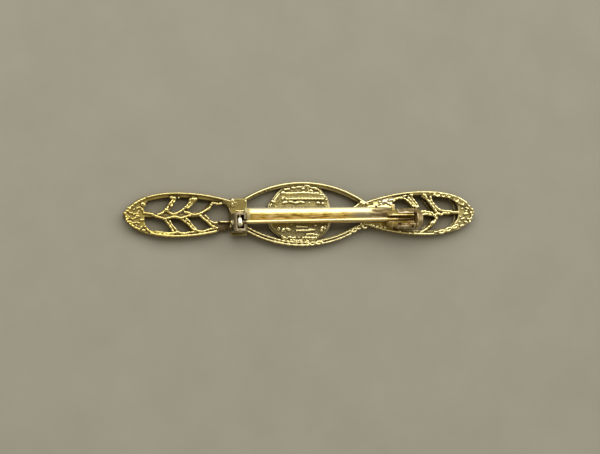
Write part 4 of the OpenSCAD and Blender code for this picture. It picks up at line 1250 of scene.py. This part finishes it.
def spotted(material, spots):
    """Painted highlights and painted shade, one row a mark: place and reach in millimetres, and colour."""
    tree = material.node_tree
    for at, reach, colour in spots:
        spot = tree.nodes.new("ShaderNodeMapping")
        spot.inputs["Scale"].default_value = tuple(1000.0 / r for r in reach)
        spot.inputs["Location"].default_value = tuple(-a / r for a, r in zip(at, reach))
        tree.links.new(object_place(tree), spot.inputs["Vector"])
        far = tree.nodes.new("ShaderNodeVectorMath")
        far.operation = "LENGTH"
        tree.links.new(spot.outputs["Vector"], far.inputs[0])
        overlay(material, span_node(tree, far.outputs["Value"], 1.0, 0.8), colour)
        hold(material, "Metallic", "MINIMUM", span_node(tree, far.outputs["Value"], 0.8, 1.0, 0.3, 1.0))


def prism(outline, axis, low, high):
    """A solid with the given outline, run along an axis. The outline's columns are the other two axes."""
    order = {"X": (2, 0, 1), "Y": (0, 2, 1), "Z": (0, 1, 2)}[axis]
    bm = bmesh.new()
    bm.from_mesh(slab(outline, low, high))
    for vert in bm.verts:
        vert.co = [vert.co[k] for k in order]
    bm.normal_update()
    bmesh.ops.recalc_face_normals(bm, faces=bm.faces)
    return mesh_of(bm, "prism")


def block(axis, low_u, high_u, low_v, high_v, low, high):
    """A box, run along an axis."""
    return prism([(low_u, low_v), (high_u, low_v), (high_u, high_v), (low_u, high_v)], axis, low, high)


def carved(name, body, cutters, metal):
    """A fitting: what the cutters leave of the body, with softened edges."""
    return cast(name, body, metal, 0.045, 3, cutters, rounds=16, depth=0.08)


hinge_metal = fitting_metal(
    "hinge metal", face=(0.37, 0.32, 0.2), second=(0.28, 0.23, 0.13), dark=(0.012, 0.008, 0.003),
    worn_and_highlit=(0.5, 0.42, 0.3), rough=(0.34, 0.5), bump=0.00001)
# a bright spot painted as a highlight, and a dark spot painted as the shade in a pit, on the wall away from
# the pin
spotted(hinge_metal, [((-11.9, -1.36, 2.95), (0.5, 0.45, 0.8), (0.9, 0.8, 0.55)),
                      ((-11.8, -2.4, 3.0), (0.4, 0.26, 0.6), (0.01, 0.006, 0.002))])
HINGE_X, HINGE_Y = -10.85, -1.4
HOUSING_X, HOUSING_HALF, HOUSING_LENGTH, ARCH_Z = -10.73, 1.17, 2.96, 3.4
WINDOW_HALF, WINDOW_REACH, SLIT_HALF = 0.56, 1.1, 0.42
arch = [(HOUSING_X - HOUSING_HALF + 0.04, 1.9), (HOUSING_X + HOUSING_HALF - 0.04, 1.9)]
for i in range(25):
    angle = math.pi * i / 24
    arch.append((HOUSING_X + HOUSING_HALF * math.cos(angle), ARCH_Z + HOUSING_HALF * math.sin(angle)))
housing_body = [prism(arch, "Y", HINGE_Y - HOUSING_LENGTH / 2, HINGE_Y + HOUSING_LENGTH / 2)]
housing_cutters = [
    block("Y", HINGE_X - WINDOW_HALF, HINGE_X + WINDOW_HALF, 2.6, 5.0,
          HINGE_Y - WINDOW_REACH, HINGE_Y + WINDOW_REACH),
    block("X", HINGE_Y - SLIT_HALF, HINGE_Y + SLIT_HALF, 3.28, 5.0, HINGE_X, HINGE_X + 2.0)]
hinge_housing = carved("hinge_housing", housing_body, housing_cutters, hinge_metal)
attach(hinge_housing, "bar")
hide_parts("brooch_bar")


# The drum of the safety catch.
# Turned from rod, bored, slotted on top so that two jaws are left, and closed by a stepped ring.
# It is soldered on its foot over the bridge of the right leaf.


def circle(count):
    """The cosine and sine of even steps round a circle."""
    return [(math.cos(math.tau * i / count), math.sin(math.tau * i / count)) for i in range(count)]


def turned_part(profile):
    """A solid of revolution about the drum's axis. The profile holds places along the bar and radii."""
    return skinned([[(x, DRUM_Y + r * c, PIN_Z + r * s) for c, s in circle(56)] for x, r in profile])


catch_metal = fitting_metal(
    "catch metal", face=(0.44, 0.34, 0.16), second=(0.27, 0.18, 0.05), dark=(0.26, 0.17, 0.05),
    worn_and_highlit=(1.0, 0.9, 0.66), rough=(0.3, 0.5), bump=0.00005)
# both jaws have painted highlights on top, and painted shade at their ends
spotted(catch_metal, [((16.3, -2.3, 4.8), (0.85, 0.13, 0.5), (0.95, 0.85, 0.6)),
                      ((16.5, -0.1, 5.1), (0.5, 0.17, 0.5), (0.95, 0.85, 0.6)),
                      ((17.65, -2.4, 4.7), (0.2, 0.32, 0.5), (0.02, 0.012, 0.004)),
                      ((15.4, -2.0, 5.0), (0.4, 0.2, 0.5), (0.03, 0.016, 0.004)),
                      ((17.9, -0.2, 5.0), (0.2, 0.3, 0.5), (0.03, 0.016, 0.004))])
DRUM_X, DRUM_END, RING_END, DRUM_R, BORE_R = 15.2, 18.1, 19.4, 1.7, 1.43
FOOT_HALF, JAW_HALF, SLOT_HALF = 0.95, 0.85, 0.47
drum_body = [
    turned_part([(DRUM_X, 1.52), (DRUM_X + 0.1, 1.6), (DRUM_X + 1.05, 1.6), (DRUM_X + 1.15, DRUM_R),
                 (DRUM_END - 0.08, DRUM_R), (DRUM_END, 1.62), (DRUM_END + 0.02, 1.48),
                 (DRUM_END + 0.2, 1.48), (DRUM_END + 0.22, 1.64), (DRUM_END + 0.3, DRUM_R),
                 (RING_END - 0.12, 1.3), (RING_END, 1.15)]),
    block("Z", DRUM_X + 0.12, RING_END - 0.5, DRUM_Y - FOOT_HALF, DRUM_Y + FOOT_HALF, 1.5, 2.5)]
drum_cutters = [
    turned_part([(DRUM_X - 0.3, BORE_R), (DRUM_END - 0.2, BORE_R)]),
    block("X", DRUM_Y - JAW_HALF, DRUM_Y + JAW_HALF, 3.9, 5.8, DRUM_X - 0.3, DRUM_END + 0.2),
    block("X", DRUM_Y - SLOT_HALF, DRUM_Y + SLOT_HALF, 3.23, 5.0, DRUM_END - 0.4, DRUM_END + 0.2)]
catch_drum = carved("catch_drum", drum_body, drum_cutters, catch_metal)
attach(catch_drum, "bar")
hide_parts("brooch_bar")


# The turning collar of the catch.
# A thin sleeve with a cone at its open end and a slot that lets the pin in. Its thumb tab stands
# out at the front of the drum and turns the slot away to lock the pin.


collar_metal = fitting_metal(
    "collar metal", face=(0.5, 0.39, 0.12), second=(0.36, 0.26, 0.05), dark=(0.3, 0.2, 0.05),
    worn_and_highlit=(0.9, 0.75, 0.4), rough=(0.34, 0.5), bump=0.00003)
TAB_START, TAB_END, TAB_TOP, TAB_HALF = 14.42, 14.92, DRUM_Y + 2.35, 0.3
tab = [(TAB_START, DRUM_Y + 0.3), (TAB_END, DRUM_Y + 0.3), (TAB_END, TAB_TOP - 0.1),
       (TAB_END - 0.08, TAB_TOP), (TAB_START + 0.08, TAB_TOP), (TAB_START, TAB_TOP - 0.1)]
collar_body = [
    turned_part([(13.7, 0.98), (13.76, 1.04), (14.3, 1.36), (14.4, 1.38), (17.8, 1.38), (17.85, 1.34)]),
    prism(tab, "Z", PIN_Z - TAB_HALF, PIN_Z + TAB_HALF)]
collar_cutters = [
    turned_part([(13.5, 0.56), (18.0, 0.56)]),
    block("X", DRUM_Y - SLOT_HALF, DRUM_Y + SLOT_HALF, PIN_Z, 5.5, 13.5, 18.0)]
collar = carved("turning_collar", collar_body, collar_cutters, collar_metal)
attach(collar, "collar")
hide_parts("catch_collar")


# The wire of the pin.
# Drawn brass wire, plated and polished, with a knuckle at its root, and ground to a point. It is dull
# at its root, painted brown as shade where the catch covers it, and painted deeper in colour as shade on
# its near side.


pin_gold = fitting_metal(
    "polished pin gold", face=(0.93, 0.8, 0.42), second=(0.88, 0.73, 0.34), dark=(0.3, 0.2, 0.05),
    worn_and_highlit=(0.96, 0.88, 0.6), rough=(0.27, 0.33), bump=0.000003)
PIN_TIP, PIN_R, POINT_R, POINT_LENGTH = 18.05, 0.34, 0.05, 3.4
tree = pin_gold.node_tree
axes = object_axes(tree)
rooted = span_node(tree, axes["X"], -0.0099, -0.0095, 1.0, 0.0)
# inside the catch the wire is painted brown as shade; its root is dull too
dull = math_node(tree, "MAXIMUM", rooted, span_node(tree, axes["X"], 0.0151, 0.0156))
overlay(pin_gold, dull, mix_colours(tree, rooted, (0.36, 0.26, 0.11), (0.2, 0.16, 0.1)))
hold(pin_gold, "Roughness", "MAXIMUM", math_node(tree, "MULTIPLY", dull, 0.5))
# and its near side, away from the light, is painted deeper in colour as shade
lean = (DRUM_Y - HINGE_Y) / (PIN_TIP - HINGE_X)
aside = math_node(tree, "MULTIPLY_ADD", axes["X"], -lean, axes["Y"])
axis_y = 0.001 * (HINGE_Y - lean * HINGE_X)
overlay(pin_gold, span_node(tree, aside, axis_y - 0.00014, axis_y - 0.00024), (0.44, 0.33, 0.13))

root, tip = Vector((HINGE_X, HINGE_Y, PIN_Z)), Vector((PIN_TIP, DRUM_Y, PIN_Z))
length, forward = (tip - root).length, (tip - root).normalized()
sideways, upward = Vector((-forward.y, forward.x, 0.0)), Vector((0.0, 0.0, 1.0))
stations = [(0.3, PIN_R), (0.6, PIN_R)] + [(0.6 + (length - 4.0) * i / 40, PIN_R) for i in range(1, 41)]
for i in range(1, 17):
    r = PIN_R - (PIN_R - POINT_R) * (i / 16) ** 1.25
    stations.append((length - POINT_LENGTH + POINT_LENGTH * i / 16, r))
wire_rings = [[root + forward * far + sideways * r * c + upward * r * s for c, s in circle(24)]
              for far, r in stations]
pin_wire = placed("pin_wire", skinned(wire_rings), pin_gold)
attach(pin_wire, "pin")
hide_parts("pin_stem")


# The knuckle of the pin.
# A sleeve round the rivet, in one with the wire, a little fatter at its near end, and painted pale as a
# highlight.
# Its outside is a little square in section, and so a little flat on top.


# painted highlight: the knuckle metal is painted pale so that the knuckle reads as bright
knuckle_metal = fitting_metal(
    "knuckle metal painted pale", face=(0.96, 0.92, 0.72), second=(0.92, 0.86, 0.6), dark=(0.3, 0.24, 0.1),
    worn_and_highlit=(0.98, 0.95, 0.8), rough=(0.24, 0.32), bump=0.000003)
KNUCKLE_BORE, SQUARENESS = 0.31, 2.5
KNUCKLE_PROFILE = [(-0.73, KNUCKLE_BORE), (-0.73, 0.45), (-0.66, 0.5), (0.0, 0.44), (0.62, 0.36),
                   (0.73, 0.33), (0.73, KNUCKLE_BORE)]
knuckle_rings = []
for y, r in KNUCKLE_PROFILE:
    ring = []
    for c, s in circle(48):
        fuller = (abs(c) ** SQUARENESS + abs(s) ** SQUARENESS) ** (-1 / SQUARENESS)
        reach = r * (fuller if r > KNUCKLE_BORE else 1.0)
        ring.append((HINGE_X + reach * c, HINGE_Y + y, PIN_Z + reach * s))
    knuckle_rings.append(ring)
pin_knuckle = placed("pin_knuckle", skinned(knuckle_rings, closed=True), knuckle_metal)
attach(pin_knuckle, "pin")
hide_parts("pin_stem")


# The rivet.
# A short pin of wire through both ears of the housing, with its ends hammered into low heads.


rivet_metal = fitting_metal(
    "rivet metal", face=(0.7, 0.6, 0.38), second=(0.6, 0.5, 0.3), dark=(0.1, 0.07, 0.03),
    worn_and_highlit=(0.85, 0.78, 0.55), rough=(0.2, 0.3), bump=0.000008)
RIVET_HALF, RIVET_R = HOUSING_LENGTH / 2, 0.24
# one head, from the ear outwards: how far it stands out, and its radius
RIVET_HEAD = [(0.02, RIVET_R), (0.02, 0.42), (0.05, 0.4), (0.13, 0.3), (0.16, 0.14)]
rivet_profile = [(-RIVET_HALF - out, r) for out, r in reversed(RIVET_HEAD)]
rivet_profile += [(RIVET_HALF + out, r) for out, r in RIVET_HEAD]
rivet_rings = [[(HINGE_X + r * c, HINGE_Y + y, PIN_Z + r * s) for c, s in circle(32)]
               for y, r in rivet_profile]
rivet = placed("rivet", skinned(rivet_rings), rivet_metal)
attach(rivet, "bar")
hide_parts("hinge_rivet")


# The studio.
# A plain pale floor, soft boxes round a dim zenith, and a camera that stands nearly overhead, a
# little towards the hinge end and the near side.


floor_paint, tree, shader = new_finish("pale floor")
shade = span_node(tree, noise_node(tree, object_place(tree), 90.0, 4.0, 0.6), 0.3, 0.7)
# painted contact shade: the floor is tinted dark warm brown where the brooch stands close around it
contact_shade_ao = tree.nodes.new("ShaderNodeAmbientOcclusion")
contact_shade_ao.inputs["Distance"].default_value = 0.003
pale = mix_colours(tree, shade, (0.27, 0.266, 0.219), (0.295, 0.289, 0.24))
pale = mix_colours(tree, span_node(tree, contact_shade_ao.outputs["AO"], 0.15, 0.8), (0.215, 0.185, 0.115), pale)
tree.links.new(pale, shader["Base Color"])
shader["Roughness"].default_value = 0.9
bm = bmesh.new()
bmesh.ops.create_grid(bm, x_segments=8, y_segments=8, size=0.6)
floor_mesh = mesh_of(bm, "studio_floor")
floor_mesh.materials.append(floor_paint)
floor = add_object("studio_floor", floor_mesh)
floor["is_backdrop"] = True

world = bpy.data.worlds.new("studio air")
bpy.context.scene.world = world
world.use_nodes = True
world.node_tree.nodes["Background"].inputs["Color"].default_value = (0.8, 0.68, 0.46, 1.0)
world.node_tree.nodes["Background"].inputs["Strength"].default_value = 0.26
bpy.context.scene.view_settings.view_transform = "Standard"


def soft_box(name, lean_x, lean_y, width, depth, power, tint):
    """A soft box whose middle leans from the zenith by so many degrees along the bar and across it."""
    lamp = bpy.data.lights.new(name, "AREA")
    lamp.shape, lamp.size, lamp.size_y, lamp.energy, lamp.color = "RECTANGLE", width, depth, power, tint
    spot = Vector((math.tan(math.radians(lean_x)), math.tan(math.radians(lean_y)), 1.0))
    spot = spot.normalized() * STUDIO_REACH
    holder = add_object(name, lamp)
    holder.location = spot
    holder.rotation_euler = (-spot).to_track_quat("-Z", "Y").to_euler()


# how far the boxes and the camera stand from the brooch, in metres
STUDIO_REACH = 0.6
soft_box("window box", 5, 37, 1.3, 0.52, 6.4, (1.0, 0.98, 0.93))
soft_box("left box", -62, -5, 0.3, 0.4, 0.55, (1.0, 0.98, 0.95))
soft_box("near box", 0, -62, 0.9, 0.25, 0.5, (1.0, 0.85, 0.6))
soft_box("right box", 66, -5, 0.3, 0.4, 0.45, (1.0, 0.97, 0.92))

LEAN_X, LEAN_Y, ROLL = math.radians(14.5), math.radians(4.3), math.radians(1.6)
PICTURE_WIDTH, PIXELS_PER_METRE, SENSOR = 600.0, 6200.0, 36.0
SHIFT_RIGHT, SHIFT_UP = 300.0 - 302.6, 213.7 - 227.0
back = Vector((-math.tan(LEAN_X), -math.tan(LEAN_Y), 1.0)).normalized()
right = (-back).cross(Vector((math.sin(ROLL), math.cos(ROLL), 0.0))).normalized()
above = right.cross(-back)
aim = Vector((0.0, 0.0, 0.002)) + (right * SHIFT_RIGHT + above * SHIFT_UP) / PIXELS_PER_METRE
camera_data = bpy.data.cameras.new("camera")
camera_data.sensor_width = SENSOR
camera_data.lens = SENSOR * STUDIO_REACH / (PICTURE_WIDTH / PIXELS_PER_METRE)
camera_data.clip_start = 0.01
camera = add_object("camera", camera_data)
camera.matrix_world = (Matrix.Translation(aim + back * STUDIO_REACH)
                       @ Matrix((right, above, back)).transposed().to_4x4())
bpy.context.scene.camera = camera

low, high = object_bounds()
